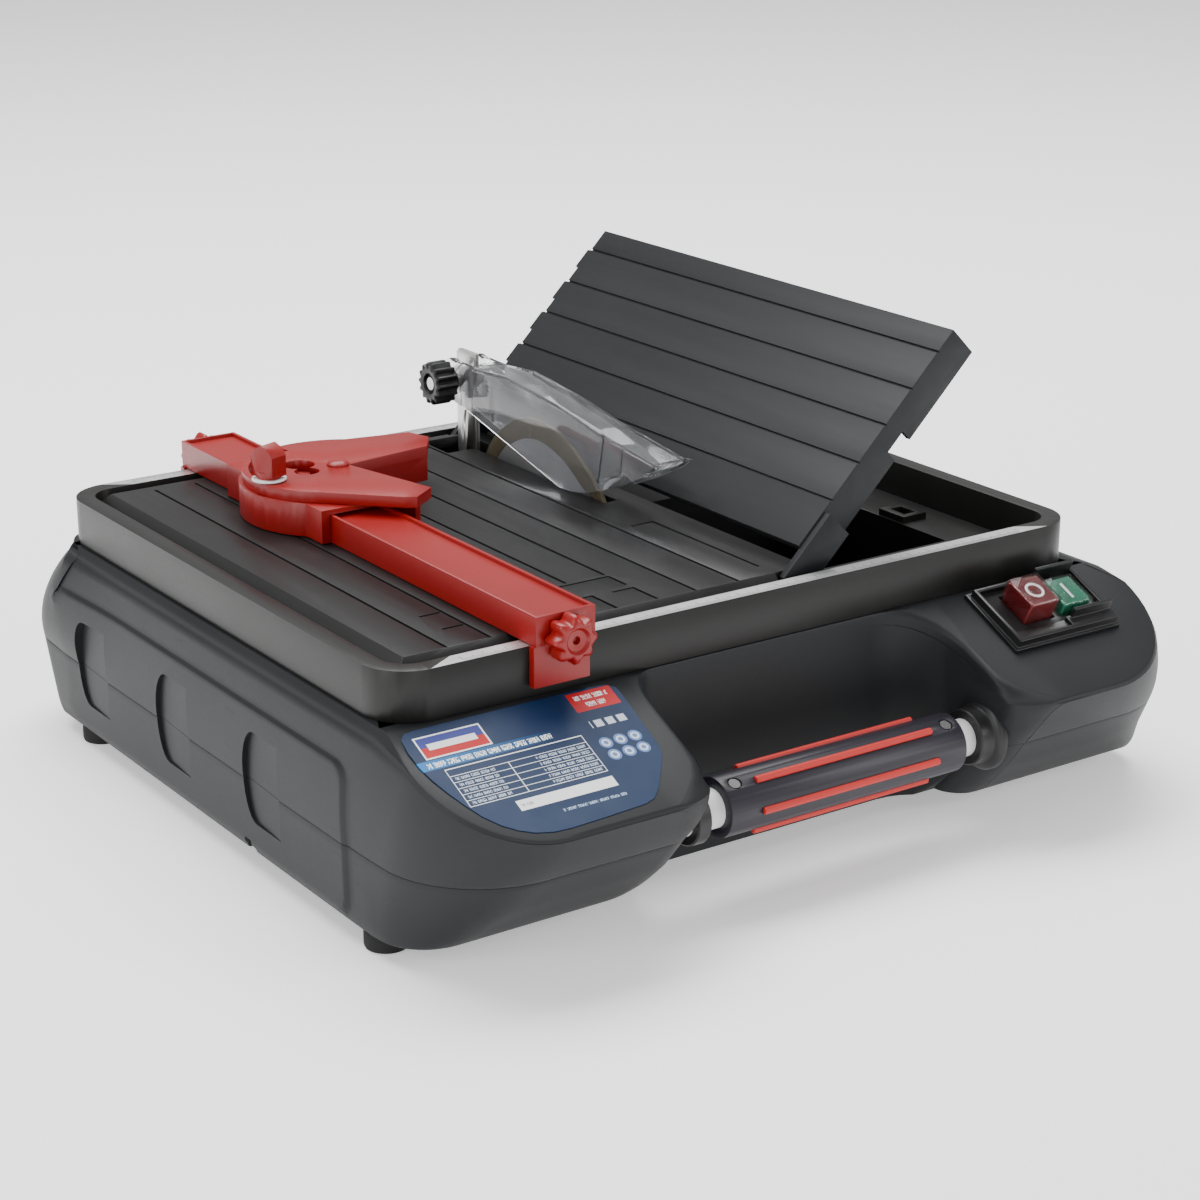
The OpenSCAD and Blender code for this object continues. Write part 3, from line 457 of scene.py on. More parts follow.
pocket_y = (72.8, 152.0, 231.7)  # straight front edges of the three shallow D-shaped pockets
pocket_top, pocket_r = -49.6, 20
well = box_plan(19, 318, 42, 267)
shell_finish = moulded("charcoal_shell", (0.0086, 0.0097, 0.0112), 0.50, skin=0.04, grain=0.9, gloss=0.26)
for shell, node in ((upper, "upper_shell"), (lower, "lower_shell")):
    for cutter in hand_cutters():
        carved(shell, cutter)
    carved(shell, prism("well", well, well, -96.5, 10))
    for y in pocket_y:
        arc = [(y + 20.3 + 9.8 * math.sin(a), pocket_top - pocket_r + pocket_r * math.cos(a))
               for a in np.linspace(0, math.pi, 15)]
        face = [(y, pocket_top), *arc, (y, pocket_top - 2 * pocket_r)]
        depth = [-8.72 + 1.5 * (p[0] - y) / 30 for p in face]  # shallow at y, deepest at the arc
        count = len(face)
        points = [spot(-14, *p) for p in face] + [spot(d, *p) for d, p in zip(depth, face)]
        sides = [(i, (i + 1) % count, (i + 1) % count + count, i + count) for i in range(count)]
        carved(shell, solid("pocket", points, [tuple(range(count)), tuple(range(count, 2 * count)), *sides]))
    carved(shell, prism("drain_notch", box_plan(-12, 4, 98, 107), box_plan(-12, 4, 100, 105), -107, -99))
    shell.data.polygons.foreach_set("use_smooth", [True] * len(shell.data.polygons))
    shell.data.set_sharp_from_angle(angle=math.radians(32))
    fitted(shell, shell_finish, node)

# Feet and screws: four turned rubber buttons pressed into the base, and the six
# zinc-plated screws that hold the two shells together, set in counterbores.


def turned(name, profile, centre, axis="Z", steps=72):
    """Lathe work: profile points are (radius, distance along the axis), in millimetres."""
    turn = {"X": Matrix(((0, 0, 1), (1, 0, 0), (0, 1, 0))), "Y": Matrix(((0, 1, 0), (0, 0, 1), (1, 0, 0))),
            "Z": Matrix.Identity(3)}[axis]
    points, faces, rows = [], [], []
    for r, h in profile:
        row = []
        for k in range(steps if r > 1e-6 else 1):
            a = 2 * math.pi * k / steps
            row.append(len(points))
            points.append(centre + turn @ Vector((r * math.cos(a), r * math.sin(a), h)) * MM)
        rows.append(row)
    if profile[0][0] > 1e-6 and profile[-1][0] > 1e-6:
        rows.append(rows[0])
    for low, high in zip(rows, rows[1:]):
        for k in range(steps):
            j = (k + 1) % steps
            loop = [low[k % len(low)], low[j % len(low)], high[j % len(high)], high[k % len(high)]]
            faces.append(list(dict.fromkeys(loop)))
    return solid(name, points, faces)


def geometry_tree(name, inputs):
    """An empty Geometry Nodes tree with named inputs, as a Wire and a dict of its inputs."""
    tree = bpy.data.node_groups.new(name, "GeometryNodeTree")
    tree.interface.new_socket("Geometry", in_out="INPUT", socket_type="NodeSocketGeometry")
    for label, kind in inputs.items():
        tree.interface.new_socket(label, in_out="INPUT", socket_type="NodeSocket" + kind)
    tree.interface.new_socket("Geometry", in_out="OUTPUT", socket_type="NodeSocketGeometry")
    source = tree.nodes.new("NodeGroupInput")
    return Wire(tree), {s.name: Wire(tree, s) for s in source.outputs if s.name}


def close_tree(wire, shape, finish):
    """Ends a tree in Realize Instances and Set Material."""
    real = wire.node("GeometryNodeRealizeInstances", Geometry=shape)
    done = wire.node("GeometryNodeSetMaterial", Geometry=real, Material=finish)
    wire.tree.links.new(done.socket, wire.tree.nodes.new("NodeGroupOutput").inputs[0])
    return wire.tree


def grown(name, tree, points=(), **values):
    """Runs a tree on the given points and keeps the result as a plain mesh."""
    mesh = bpy.data.meshes.new(name)
    mesh.from_pydata([tuple(p) for p in points], [], [])
    thing = linked(name, mesh)
    grow = thing.modifiers.new("grow", "NODES")
    grow.node_group = tree
    for item in tree.interface.items_tree:
        if item.in_out == "INPUT" and item.name in values:
            grow[item.identifier] = values[item.name]
    plain_mesh(thing)
    thing.data.polygons.foreach_set("use_smooth", [True] * len(thing.data.polygons))
    thing.data.set_sharp_from_angle(angle=math.radians(34))
    return thing


def copies_tree(name, finish):
    """One solid set on every point."""
    wire, given = geometry_tree(name, {"Solid": "Object"})
    shape = wire.node("GeometryNodeObjectInfo", out=4, Object=given["Solid"])
    set_out = wire.node("GeometryNodeInstanceOnPoints", Points=given["Geometry"], Instance=shape)
    return close_tree(wire, set_out, finish)


def repeated(name, tree, pattern, points):
    thing = grown(name, tree, points, Solid=pattern)
    bpy.data.objects.remove(pattern)
    return thing


rubber = moulded("foot_rubber", (0.012, 0.012, 0.012), 0.78, skin=0.06, grain=0.5, gloss=0.25)
foot_low, foot_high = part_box("rubber_feet")
foot_r = 9
foot_x, foot_y = [((low - start) / MM + foot_r, (high - start) / MM - foot_r)
                  for low, high, start in zip(foot_low.xy, foot_high.xy, corner.xy)]
foot_profile = [(0, 3), (4, 3), (4, 0.2), (4.4, 0), (7.6, 0), (8.6, 0.5), (foot_r, 1.6),
                (foot_r, 6.4), (8.6, 7.6), (7.8, 8), (3, 8), (3, 12), (0, 12)]
foot = turned("foot", foot_profile, Vector((0, 0, 0)), steps=48)
places = [Vector((*spot(x, y, 0).xy, foot_low.z)) for x in foot_x for y in foot_y]
fitted(repeated("rubber_buttons", copies_tree("foot_copies", rubber), foot, places), rubber, "rubber_feet")


def metal(name, colour, rough, lay=(1, 1, 1), size=0.35, stain=(0.3, 0.28, 0.25), stained=0.15):
    """Bare or plated metal with machining lines laid along one direction and dull stains."""
    made, shader, wire, place = material(name)
    line = wire.noise(wire.stretched(place, *lay), size, 3, 0.65)
    cloud = wire.noise(place, 9, 4)
    tone = (cloud * line * stained * 2).mixed(colour, stain)
    bumped = wire.node("ShaderNodeBump", Height=line, Strength=0.35, Distance=0.03 * MM)
    shade(shader, wire, Base_Color=tone, Roughness=line * 0.16 + cloud * 0.14 + (rough - 0.13),
          Metallic=1.0 - cloud * 0.08, Normal=bumped)
    return made


def dressed(finish, *nodes):
    """A CAD solid that keeps its shape takes a worked finish."""
    for node in nodes:
        mesh = frame["nodes"][node].data
        mesh.materials.clear()
        mesh.materials.append(finish)


zinc = metal("zinc_plate", (0.62, 0.62, 0.6), 0.32, (1, 1, 0.15))
dressed(zinc, "base_screws", "knife_screws", "motor_bolts", "hinge_pins", "guide_bolt")
dressed(metal("blackened_steel", (0.12, 0.12, 0.125), 0.4), "grip_screws")

# Water tray: one deep black moulding whose rim carries the fence and whose basin
# holds the cooling water; its skirt drops over the body and hides the joint.


def softened(node, width, finish, segments=2):
    """The CAD solid with its edges eased as a mould leaves them."""
    mesh = frame["nodes"][node].data.copy()
    work = bmesh.new()
    work.from_mesh(mesh)
    bmesh.ops.remove_doubles(work, verts=work.verts, dist=2e-6)
    bmesh.ops.dissolve_limit(work, angle_limit=math.radians(0.5), verts=work.verts, edges=work.edges)
    bmesh.ops.triangulate(work, faces=[f for f in work.faces if len(f.verts) > 8])
    work.to_mesh(mesh)
    work.free()
    thing = linked(node + "_eased", mesh)
    return fitted(eased_edges(thing, width, segments=segments), finish, node)


tray_finish = moulded("tray_black", (0.0070, 0.0067, 0.0062), 0.40, skin=0.03, grain=1.1, gloss=0.34,
                      drift=0.3)
softened("water_tray", 0.7, tray_finish)

# Rules: two mitred aluminium strips let into the rim, with etched marks each
# millimetre, longer at every fifth and tenth, filled with black.
strip_finish = metal("rule_aluminium", (0.80, 0.80, 0.81), 0.36, (0.05, 1, 1), stained=0.08)
dressed(strip_finish, "front_rule", "rear_rule")
ink, shader, wire, place = material("etch_ink")
shade(shader, wire, Base_Color=wire.noise(place, 2, 2).mixed((0.05, 0.05, 0.055), (0.12, 0.12, 0.12)),
      Roughness=wire.noise(place, 1, 2) * 0.2 + 0.5)

wire, given = geometry_tree(
    "rule_marks", {"Marks": "Int", "Step": "Float", "Long": "Float", "Broad": "Float"})
number = wire.node("GeometryNodeInputIndex")
line = wire.node("GeometryNodeMeshLine", Count=given["Marks"], Offset=wire.node(
    "ShaderNodeCombineXYZ", X=given["Step"]))
bar = wire.node("GeometryNodeMeshCube", Size=wire.node(
    "ShaderNodeCombineXYZ", X=given["Broad"], Y=given["Long"], Z=0.06 * MM))
bar = wire.node("GeometryNodeTransform", Geometry=bar, Translation=wire.node(
    "ShaderNodeCombineXYZ", Y=given["Long"] * 0.5))
reach = ((number % 5) < 0.5) * 0.25 + ((number % 10) < 0.5) * 0.3 + 0.45
marks = wire.node("GeometryNodeInstanceOnPoints", Points=line, Instance=bar, Scale=wire.node(
    "ShaderNodeCombineXYZ", X=1, Y=reach, Z=1))
marks_tree = close_tree(wire, marks, ink)
for node, side in (("front_rule", 1), ("rear_rule", -1)):
    low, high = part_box(node)
    edge = low.y if side > 0 else high.y
    etched = grown(node + "_marks", marks_tree, Marks=281, Step=1 * MM, Long=side * 4.6 * MM,
                   Broad=0.22 * MM)
    etched.data.transform(Matrix.Translation((low.x + 15 * MM, edge + side * 0.3 * MM, high.z)))
    if side < 0:
        etched.data.flip_normals()
    fitted(etched, ink, body="frame", slot="black_plastic")

# Tables: ribless black-grey plates with drain grooves, polished in places by tiles
# dragged across them; the right one tips up on two pins beside the blade.


def table_plastic(name, colour, rough):
    """Plate surface with long drag marks, polished lanes and a trace of dried slurry."""
    made, shader, wire, place = material(name)
    lane = wire.noise(wire.stretched(place, 1, 0.05, 1), 7, 3)
    hair = wire.noise(wire.stretched(place, 1, 0.02, 1), 0.5, 2, 0.6)
    cloud = wire.noise(place, 40, 4)
    dust = wire.node("ShaderNodeValToRGB", {"stops": [(0.58, (0, 0, 0)), (0.8, (1, 1, 1))]},
                     Fac=wire.noise(place, 12, 6, 0.7))
    tone = cloud.mixed([c * 0.8 for c in colour], [c * 1.25 for c in colour])
    tone = (dust * 0.05 + hair * 0.05).mixed(tone, (0.10, 0.10, 0.095))
    bumped = wire.node("ShaderNodeBump", Height=hair + wire.noise(place, 0.8, 2) * 0.5,
                       Strength=0.5, Distance=0.03 * MM)
    shade(shader, wire, Base_Color=tone, Roughness=lane * 0.22 + dust * 0.08 + hair * 0.08 + (rough - 0.16),
          Normal=bumped, Specular_IOR_Level=0.28)
    return made


table_finish = table_plastic("table_black", (0.0055, 0.0055, 0.006), 0.42)
softened("fixed_table", 0.35, table_finish)
panel_finish = table_plastic("panel_black", (0.0070, 0.0080, 0.0095), 0.52)
softened("tilt_panel", 0.5, panel_finish)

# Blade: a continuous-rim diamond disc, a ground steel core with a sintered bronze
# and diamond rim, clamped between two turned flanges by the arbor nut.
blade_low, blade_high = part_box("diamond_blade")
hub = (blade_low + blade_high) / 2
blade_r = (blade_high.z - blade_low.z) / 2 / MM
rim_wide = 8.5
core_finish, shader, wire, place = material("ground_core")
away = wire.node("ShaderNodeVectorMath", {"operation": "LENGTH"}, 1, i0=wire.node(
    "ShaderNodeVectorMath", {"operation": "SUBTRACT"}, i0=place, i1=tuple(hub)))
rings_cut = wire.node("ShaderNodeTexNoise", {"noise_dimensions": "1D"}, W=away * 2500, Detail=3)
film = wire.noise(place, 6, 5, 0.65)
shade(shader, wire, Base_Color=(film * 0.6).mixed((0.36, 0.38, 0.40), (0.22, 0.21, 0.19)),
      Metallic=0.9 - film * 0.5, Roughness=rings_cut * 0.2 + film * 0.2 + 0.2,
      Normal=wire.node("ShaderNodeBump", Height=rings_cut, Strength=0.4, Distance=0.02 * MM))
rim_finish, shader, wire, place = material("diamond_rim")
grit = wire.node("ShaderNodeTexVoronoi", Vector=place, Scale=2200.0)
rust = wire.noise(place, 3.5, 5, 0.7)
shade(shader, wire, Base_Color=rust.mixed((0.14, 0.115, 0.07), (0.07, 0.055, 0.03)),
      Metallic=rust * 0.5, Roughness=grit * 0.25 + 0.5,
      Normal=wire.node("ShaderNodeBump", Height=grit + rust, Strength=0.8, Distance=0.12 * MM))
half, bore_r = 0.8, 11.12
core_r = blade_r - rim_wide + 0.3
core = turned("blade_core", [(bore_r, -half), (core_r, -half), (core_r, half), (bore_r, half)], hub, "X", 128)
fitted(eased_edges(core, 0.1), core_finish, "diamond_blade")

wire, given = geometry_tree(
    "rim_hoop", {"Radius": "Float", "Width": "Float", "Thick": "Float", "Place": "Vector"})
hoop = wire.node("GeometryNodeCurvePrimitiveCircle", {"mode": "RADIUS"}, Resolution=160,
                 Radius=given["Radius"])
section = wire.node("GeometryNodeCurvePrimitiveQuadrilateral", Width=given["Width"], Height=given["Thick"])
section = wire.node("GeometryNodeFilletCurve", {"mode": "POLY"}, Curve=section, Count=3,
                    Radius=given["Thick"] * 0.22)
hoop = wire.node("GeometryNodeCurveToMesh", Curve=hoop, Profile_Curve=section)
hoop = wire.node("GeometryNodeTransform", Geometry=hoop, Rotation=(0, math.pi / 2, 0),
                 Translation=given["Place"])
hoop_tree = close_tree(wire, hoop, rim_finish)
rim = grown("blade_rim", hoop_tree, Radius=(blade_r - rim_wide / 2) * MM, Width=rim_wide * MM,
            Thick=2.0 * MM, Place=hub)
fitted(rim, rim_finish, body="spindle", slot="blade_steel")
steel = metal("turned_steel", (0.52, 0.52, 0.53), 0.30, (0.2, 1, 1))
dressed(steel, "inner_flange", "outer_flange", "arbor_nut", "spindle_shaft", "spindle_gear",
        "motor_pinion", "armature_shaft", "spindle_bearings", "motor_bearings")

# Riving knife, guard and its clamp: a stamped stainless blade behind the disc holds a
# clear moulded guard on one bolt, which a fluted black knob pinches in place.
stainless = metal("stamped_stainless", (0.66, 0.66, 0.65), 0.30, (1, 1, 0.08), 0.5, stained=0.2)
softened("riving_knife", 0.25, stainless)
dressed(zinc, "guard_bolt")

clear, shader, wire, place = material("clear_guard")
swirl = wire.noise(place, 9, 3)
hair = wire.noise(wire.stretched(place, 1, 0.1, 1), 0.8, 3)
shade(shader, wire, Base_Color=swirl.mixed((0.90, 0.91, 0.95), (0.96, 0.97, 0.98)),
      Roughness=hair * 0.05 + swirl * 0.02, IOR=1.49, Transmission_Weight=0.97, Specular_IOR_Level=0.6,
      Normal=wire.node("ShaderNodeBump", Height=swirl + hair * 0.2, Strength=0.15, Distance=0.06 * MM))
softened("blade_guard", 0.35, clear)
guard_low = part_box("blade_guard")[0]


def bar_between(x, a, b, wide, proud):
    """Moulded rib on a plane of constant x, from (y, z) to (y, z)."""
    a, b = Vector(a), Vector(b)
    along = (b - a).normalized()
    across = Vector((-along.y, along.x)) * wide / 2
    a, b = a - along * wide / 2, b + along * wide / 2
    quad = [a - across, b - across, b + across, a + across]
    top_quad = [a - across * 0.6, b - across * 0.6, b + across * 0.6, a + across * 0.6]
    return [(x, *p) for p in quad] + [(x - proud, *p) for p in top_quad]


ribs, faces = [], []
guard_face = (guard_low.x - corner.x) / MM
for a, b, wide in (((129.9, 33.0), (134.0, 12.2), 2.2), ((134.0, 12.2), (117.1, 18.1), 1.2),
                   ((117.1, 18.1), (114.8, 30.4), 1.2), ((114.8, 30.4), (129.9, 33.0), 1.0)):
    base = len(ribs)
    ribs += bar_between(guard_face + 0.05, a, b, wide, 0.75)
    faces += [tuple(base + i for i in f) for f in (
        (3, 2, 1, 0), (4, 5, 6, 7), (0, 1, 5, 4), (1, 2, 6, 5), (2, 3, 7, 6), (3, 0, 4, 7))]
frame_ribs = solid("guard_ribs", [spot(*p) for p in ribs], faces, smooth=False)
fitted(frame_ribs, clear, body="guard", slot="clear_plastic")


def lobed_knob(name, centre, axis, profile, lobes, dip, steps=160):
    """Turned knob whose outside is waved into finger lobes; profile rows are
    (radius, distance, share of the wave)."""
    knob = turned(name, [p[:2] for p in profile], centre, axis, steps)
    turn = {"X": (1, 2, 0), "Y": (2, 0, 1)}[axis]
    for v in knob.data.vertices:
        p = (v.co - centre) / MM
        a, b, h = (p[i] for i in turn)
        r = math.hypot(a, b)
        share = next((s for q, d, s in profile if abs(q - r) < 0.02 and abs(d - h) < 0.02), 0)
        if share and r > 1e-6:
            wave = 1 - share * dip / r * (0.5 - 0.5 * math.cos(lobes * math.atan2(b, a)))
            a, b = a * wave, b * wave
            q = [0, 0, 0]
            q[turn[0]], q[turn[1]], q[turn[2]] = a, b, h
            v.co = centre + Vector(q) * MM
    return knob


knob_black = moulded("knob_black", (0.008, 0.008, 0.009), 0.42, skin=0.03, gloss=0.4)
low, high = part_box("guard_knob")
knob_at = Vector((low.x, (low.y + high.y) / 2, (low.z + high.z) / 2))
guard_knob = lobed_knob("fluted_knob", knob_at, "X", [
    (0, 2.2, 0), (4.4, 2.2, 0), (5.0, 0.3, 0), (6.6, 0, 0), (8.6, 0, 0.7), (9.9, 0.5, 1), (10.25, 1.6, 1),
    (10.25, 9.6, 1), (9.9, 10.6, 1), (8.6, 11, 0.7), (6.6, 11, 0), (6.3, 11.4, 0), (6.3, 12.8, 0),
    (5.8, 13.2, 0), (0, 13.2, 0)], 14, 1.9)
fitted(guard_knob, knob_black, "guard_knob")

# Rip fence: a red moulded channel lying across the table, hooked over the rim at
# both ends by jaws that the two lobed knobs draw tight.
red = moulded("fence_red", (0.26, 0.003, 0.0025), 0.36, skin=0.02, grain=1.4, gloss=0.5, drift=0.1)
for node in ("fence_beam", "front_jaw", "rear_jaw"):
    softened(node, 0.5, red)
for node, name, side in (("fence_front_knob", "front_lobed_knob", 1),
                         ("fence_rear_knob", "rear_lobed_knob", -1)):
    low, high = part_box(node)
    face = low.y if side > 0 else high.y
    at = Vector(((low.x + high.x) / 2, face, (low.z + high.z) / 2))
    rows = [(0, 3.4, 0), (1.3, 3.4, 0), (1.7, 1.6, 0), (4.2, 1.2, 0), (4.9, 0.5, 0), (5.4, 0, 0), (6.8, 0, 0),
            (8.2, 0.3, 0.6), (9.3, 1.0, 1), (10, 2.2, 1), (10, 7.8, 1), (9.5, 8.8, 1), (8.4, 9.2, 0.7),
            (2.5, 9.2, 0), (2.5, 20, 0), (0, 20, 0)]
    rows = [(r, side * h, s) for r, h, s in rows]
    knob = lobed_knob(name, at, "Y", rows, 8, 2.3)
    fitted(knob, red, node)

# Angle guide: a red saddle rides on the beam and carries a swinging protractor on
# one rivet; a bolt through its slot locks it under a wing knob and a nylon washer.
softened("guide_base", 0.6, red)
softened("protractor_plate", 0.5, red)
low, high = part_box("pivot_rivet")
rivet_at = Vector(((low.x + high.x) / 2, (low.y + high.y) / 2, low.z))
tall = (high.z - low.z) / MM
rivet = turned("domed_rivet", [(0, 0), (3, 0), (3, tall - 2.4), (5.0, tall - 2.4), (4.9, tall - 1.6),
                               (4.0, tall - 0.6), (2.4, tall - 0.1), (0, tall)], rivet_at, steps=48)
fitted(rivet, red, "pivot_rivet")
softened("wing_knob", 1.6, red, segments=4)
nylon = moulded("nylon_white", (0.74, 0.74, 0.72), 0.45, skin=0.02, drift=0.05)
low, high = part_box("knob_washer")
washer_at = Vector(((low.x + high.x) / 2, (low.y + high.y) / 2, low.z))
washer_profile = [(2.55, 0), (7.2, 0), (7.5, 0.25), (7.5, 0.75), (7.2, 1), (2.55, 1)]
washer = turned("nylon_washer", washer_profile, washer_at)
fitted(washer, nylon, "knob_washer")

# Rating label: a printed film stuck on the sloping front facet. Its print is plain
# blocks, rules and dashes: no words, no marks.
tilt_back = Matrix.Rotation(facet_angle, 4, "X")
facet_frame = Matrix.Translation(spot(0, facet_y, facet_z)) @ tilt_back @ Matrix.Scale(MM, 4)


def on_facet(x, t, h):
    """A point on the front facet: across, up its slope and out of it, in millimetres."""
    return facet_frame @ Vector((x, t, h))


label, shader, wire, place = material("label_print")
across = (wire.node("ShaderNodeVectorMath", {"operation": "DOT_PRODUCT"}, 1, i0=place, i1=(1, 0, 0))
          - corner.x) * 1000
rise = tilt_back.to_3x3() @ Vector((0, 1, 0))
upward = (wire.node("ShaderNodeVectorMath", {"operation": "DOT_PRODUCT"}, 1, i0=place, i1=tuple(rise))
          - on_facet(0, 0, 0).dot(rise)) * 1000


def block(x0, x1, t0, t1):
    return across.between(x0, x1) * upward.between(t0, t1)


def dashes(x0, x1, t, height, pitch):
    """A row of short uneven strokes, standing in for a line of print."""
    letter = wire.node("ShaderNodeTexNoise", {"noise_dimensions": "2D"}, Vector=wire.node(
        "ShaderNodeCombineXYZ", X=across / pitch, Y=upward / (height * 1.3) + t), Scale=2.6, Detail=1.0)
    gap = (across % (pitch * 5.3)) > pitch * 0.8
    return block(x0, x1, t - height / 2, t + height / 2) * (letter > 0.47) * gap


white = (0.78, 0.79, 0.80)
scarlet = (0.45, 0.006, 0.010)
print_colour = wire.noise(place, 30, 3).mixed((0.002, 0.016, 0.055), (0.003, 0.020, 0.066))
glow = block(0, 60, -21.6, -16.9) * (1 - across / 60)
layers = [
    (glow, (0.01, 0.16, 0.42)),
    (block(5.2, 34, -16.4, -4.9), white), (block(5.9, 33.3, -15.7, -5.6), (0.03, 0.04, 0.22)),
    (block(5.9, 33.3, -15.7, -10.6), scarlet), (block(9, 30, -12.2, -9.0), white),
    (dashes(4, 58, -19.5, 2.6, 1.1), white),
    (block(9.2, 69.4, -42.6, -22.8), white),
    (block(26.7, 69.4, -50.3, -45.2), white), (dashes(28, 33, -47.8, 1.4, 0.8), (0.2, 0.2, 0.2)),
    (block(74.6, 94.8, -12, -2), scarlet), (dashes(77, 92, -5, 2.4, 1.0), white),
    (dashes(80, 89, -9, 2.4, 1.0), white), (dashes(42, 70, -54.9, 1.3, 0.9), (0.35, 0.45, 0.6)),
    (block(76, 92, -21, -17.4) * ((across % 5.2) < 3.6), (0.55, 0.6, 0.68)),
]
for mask, tone in layers:
    print_colour = mask.mixed(print_colour, tone)
ink_blue = (0.0025, 0.018, 0.060)
lines_t = [-26.6, -29.8, -33.0, -36.2, -39.4, -42.4]
for t0, t1 in zip([-23.1] + lines_t[:-1], lines_t):
    print_colour = block(9.5, 69.1, t1 + 0.1, t0 - 0.15).mixed(print_colour, ink_blue)
    if t0 != -23.1:
        print_colour = dashes(11, 28, (t0 + t1) / 2, 1.4, 0.8).mixed(print_colour, (0.45, 0.52, 0.62))
        print_colour = dashes(46, 68, (t0 + t1) / 2, 1.4, 0.8).mixed(print_colour, (0.45, 0.52, 0.62))
print_colour = block(34.4, 34.75, -42.5, -26.7).mixed(print_colour, white)
for x in (76.8, 83.4, 90.0):
    for t in (-29.3, -35.8):
        off = ((across - x) * (across - x) + (upward - t) * (upward - t)).power(0.5)
        print_colour = (off < 2.8).mixed(print_colour, (0.10, 0.19, 0.42))
        print_colour = (off.between(1.0, 1.9)).mixed(print_colour, (0.55, 0.6, 0.7))
shade(shader, wire, Base_Color=print_colour, Roughness=wire.noise(place, 8, 3) * 0.15 + 0.36,
      Specular_IOR_Level=0.22,
      Normal=wire.node("ShaderNodeBump", Height=wire.noise(place, 5, 2), Strength=0.2, Distance=0.05 * MM))
label_edge = [(3.4, -1.6), (8.0, -1.0), (86, -0.7), (93.5, -1.2), (97.4, -4.0), (97.6, -9), (96.9, -24),
              (96.4, -37), (94.6, -42), (90.0, -48.4), (83.5, -56.6), (79.0, -60.6), (74.0, -62.0),
              (56, -63.0), (40, -63.6), (33, -63.2), (26, -61.4), (20.5, -58.4), (15.6, -54.2), (11.0, -48),
              (7.6, -41), (4.6, -33.5), (2.2, -26), (0.8, -19), (0.4, -11), (1.2, -4.4)]
count = len(label_edge)
film_points = [on_facet(x, t, -0.3) for x, t in label_edge] + [on_facet(x, t, 0.3) for x, t in label_edge]
film_faces = [tuple(range(count)), tuple(range(count, 2 * count))]
film_faces += [(i, (i + 1) % count, (i + 1) % count + count, i + count) for i in range(count)]
film = solid("rating_film", film_points, film_faces, smooth=False)
fitted(eased_edges(film, 0.12), label, "label_plate")

# Switch: a snap-in magnetic switch with a tall red off button and a low green on
# button under clear caps, shielded by two fins on its black bezel.
switch_black = moulded("switch_black", (0.006, 0.006, 0.0065), 0.33, skin=0.02, grain=0.8, gloss=0.4)
softened("switch_housing", 0.35, switch_black)
button_red = moulded("button_red", (0.20, 0.010, 0.013), 0.4, skin=0.01, drift=0.06)
button_green = moulded("button_green", (0.03, 0.26, 0.15), 0.4, skin=0.01, drift=0.06)
mark_white = moulded("mark_white", (0.8, 0.8, 0.8), 0.4, skin=0.01, drift=0.03)
cap_clear, shader, wire, place = material("cap_clear")
shade(shader, wire, Base_Color=wire.noise(place, 4, 2).mixed((0.93, 0.94, 0.93), (0.98, 0.98, 0.97)),
      Roughness=wire.noise(place, 2, 3) * 0.04, IOR=1.45, Alpha=0.4, Transmission_Weight=1.0)
for button, finish in (("red_button", button_red), ("green_button", button_green)):
    softened(button, 0.6, finish)
for cap in ("red_cap", "green_cap"):
    softened(cap, 0.5, cap_clear)


def facet_box(name, x, t, h, ease_by, finish, body, slot):
    points = [on_facet(a, b, c) for c in h for b in t for a in x]
    box = solid(name, points, [(0, 1, 3, 2), (4, 5, 7, 6), (0, 1, 5, 4), (2, 3, 7, 6), (0, 2, 6, 4),
                               (1, 3, 7, 5)])
    return fitted(eased_edges(box, ease_by), finish, body=body, slot=slot)


facet_box("on_mark", (320.1, 321.3), (-22.0, -13.0), (6.95, 7.12), 0.05, mark_white,
          "on_button", "white_plastic")
ring_mark = turned("off_mark", [(3.2, 0), (4.3, 0), (4.3, 0.17), (3.2, 0.17)], Vector((0, 0, 0)), steps=64)
ring_mark.data.transform(facet_frame @ Matrix.Translation((300, -17.25, 11.95)) @ Matrix.Scale(1000, 4))
fitted(ring_mark, mark_white, body="off_button", slot="white_plastic")

# Carrying handle: a white tube between two black collars with a split dark sleeve
# over it, screwed on, and rounded red strips pressed into grooves along the sleeve.
tube_white = moulded("tube_white", (0.72, 0.73, 0.72), 0.42, skin=0.03, drift=0.06)
grip_dark = moulded("grip_aubergine", (0.011, 0.009, 0.016), 0.42, skin=0.03, grain=0.8, gloss=0.42)
strip_red = moulded("strip_red", (0.45, 0.014, 0.010), 0.5, skin=0.03, gloss=0.4, drift=0.08)
low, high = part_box("handle_tube")
bar_at = Vector((low.x, (low.y + high.y) / 2, (low.z + high.z) / 2))
tube_long = (high.x - low.x) / MM
tube_profile = [(6, 0), (7.8, 0), (8, 0.3), (8, tube_long - 0.3), (7.8, tube_long), (6, tube_long)]
tube = turned("carry_tube", tube_profile, bar_at, "X")
fitted(tube, tube_white, "handle_tube")
collar_low, collar_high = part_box("handle_collars")
collars = turned("collars", [(8, 0), (11.2, 0), (11.9, 0.5), (12, 5.6), (11.6, 6.2), (8, 6.4)],
                 Vector((collar_low.x, bar_at.y, bar_at.z)), "X")
boss = turned("boss", [(8, -10), (11.4, -10), (12, -9.4), (12, -4.6), (12.5, -3.6), (13.8, -3.0),
                       (15.0, -2.3), (15.7, -1.2), (15.7, 0.5), (8, 0.5)],
              Vector((collar_high.x, bar_at.y, bar_at.z)), "X")
work = bmesh.new()
work.from_mesh(collars.data)
work.from_mesh(boss.data)
work.to_mesh(collars.data)
work.free()
bpy.data.objects.remove(boss)
fitted(collars, knob_black, "handle_collars")
softened("handle_grip", 0.5, grip_dark)

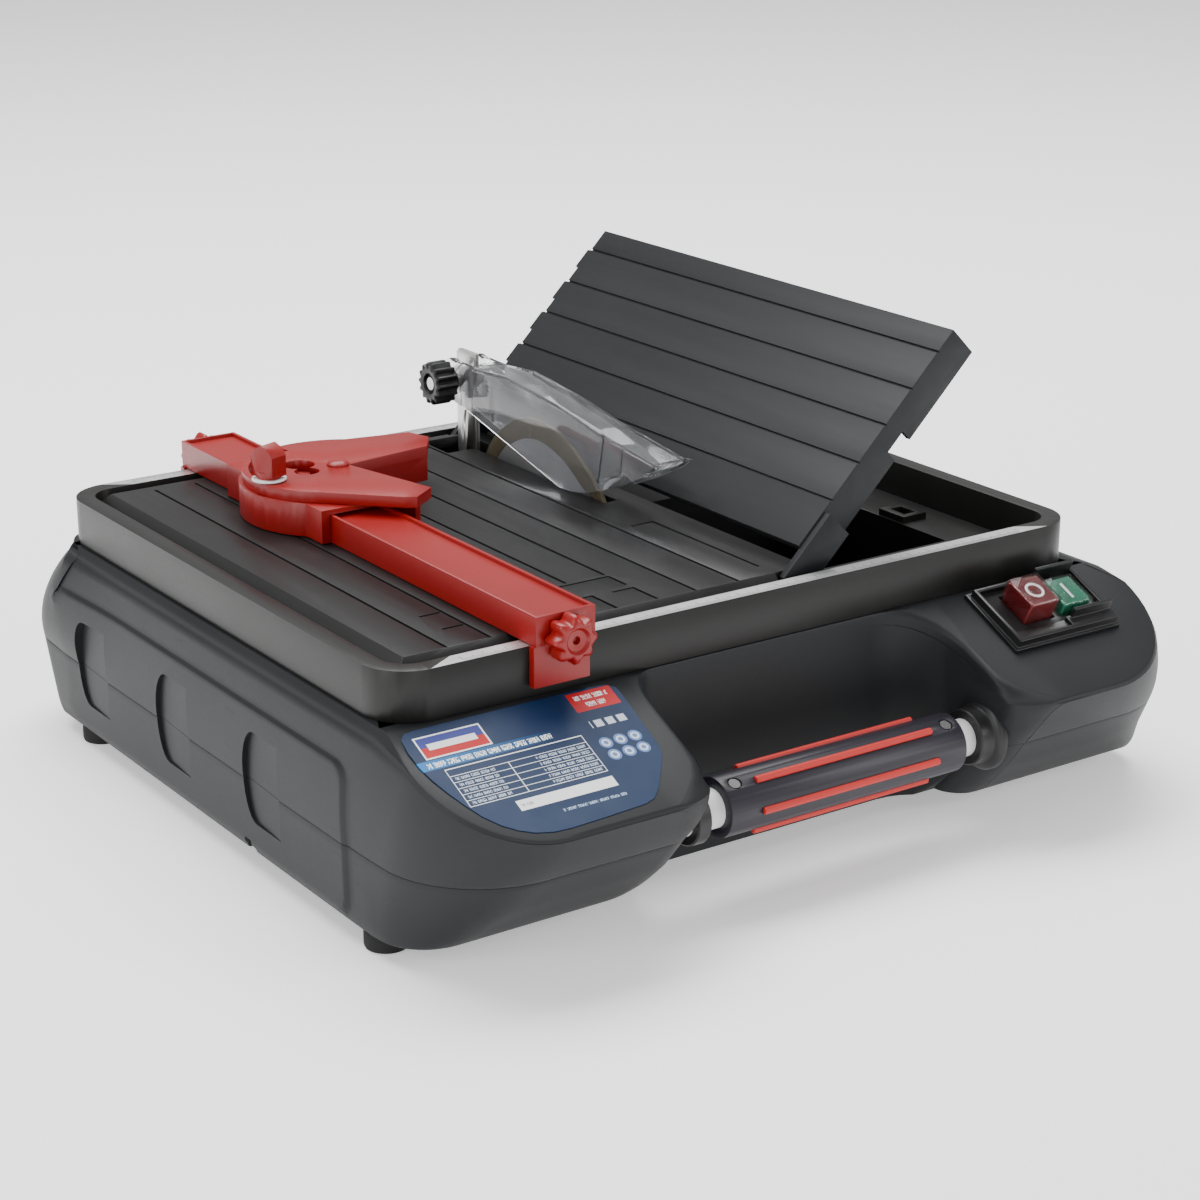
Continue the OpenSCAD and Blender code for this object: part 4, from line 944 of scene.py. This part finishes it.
wire, given = geometry_tree(
    "grip_ribs", {"Strips": "Int", "Radius": "Float", "Long": "Float", "Turn": "Float"})
spine = wire.node("GeometryNodeCurvePrimitiveLine", Start=(0, 0, 0), End=wire.node(
    "ShaderNodeCombineXYZ", X=given["Long"]))
bow = wire.node("GeometryNodeCurvePrimitiveCircle", {"mode": "RADIUS"}, Resolution=14, Radius=1.55 * MM)
rod = wire.node("GeometryNodeCurveToMesh", Curve=spine, Profile_Curve=bow, Fill_Caps=True)
rod = wire.node("GeometryNodeTransform", Geometry=rod, Translation=wire.node(
    "ShaderNodeCombineXYZ", Z=given["Radius"]))
post = wire.node("GeometryNodeMeshLine", Count=given["Strips"], Offset=(0, 0, 0))
angle = wire.node("GeometryNodeInputIndex") * (2 * math.pi / 6) + given["Turn"]
ribs = wire.node("GeometryNodeInstanceOnPoints", Points=post, Instance=rod, Rotation=wire.node(
    "ShaderNodeCombineXYZ", X=angle))
ribs_tree = close_tree(wire, ribs, strip_red)
strip_low, strip_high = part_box("grip_strips")
strip_long = strip_high.x - strip_low.x
grip_r = 12.4
strips = grown("grip_ribs", ribs_tree, Strips=6, Radius=(grip_r + 0.1) * MM, Long=strip_long,
               Turn=math.radians(-87))
strips.data.transform(Matrix.Translation((strip_low.x, bar_at.y, bar_at.z)))
fitted(eased_edges(strips, 0.7, 50, 3), strip_red, "grip_strips")

# Works inside: universal motor, its reduction gear and bearings in the dry tunnel,
# and the cable gland at the back. They are seen only with the saw taken apart.
cast = metal("cast_alloy", (0.55, 0.56, 0.57), 0.5, size=1.2)
can_steel = metal("drawn_can", (0.45, 0.46, 0.48), 0.35, (0.1, 1, 1))
laminated = metal("varnished_laminations", (0.22, 0.16, 0.11), 0.45, (8, 0.3, 0.3), 0.6)
copper = metal("turned_copper", (0.72, 0.36, 0.20), 0.3, (0.2, 1, 1))
dressed(cast, "gear_housing")
dressed(can_steel, "motor_can")
dressed(laminated, "stator_core", "armature_core")
dressed(copper, "commutator", "brush_holders")
dressed(knob_black, "cooling_fan", "cable_gland")
dressed(rubber, "shaft_seal")
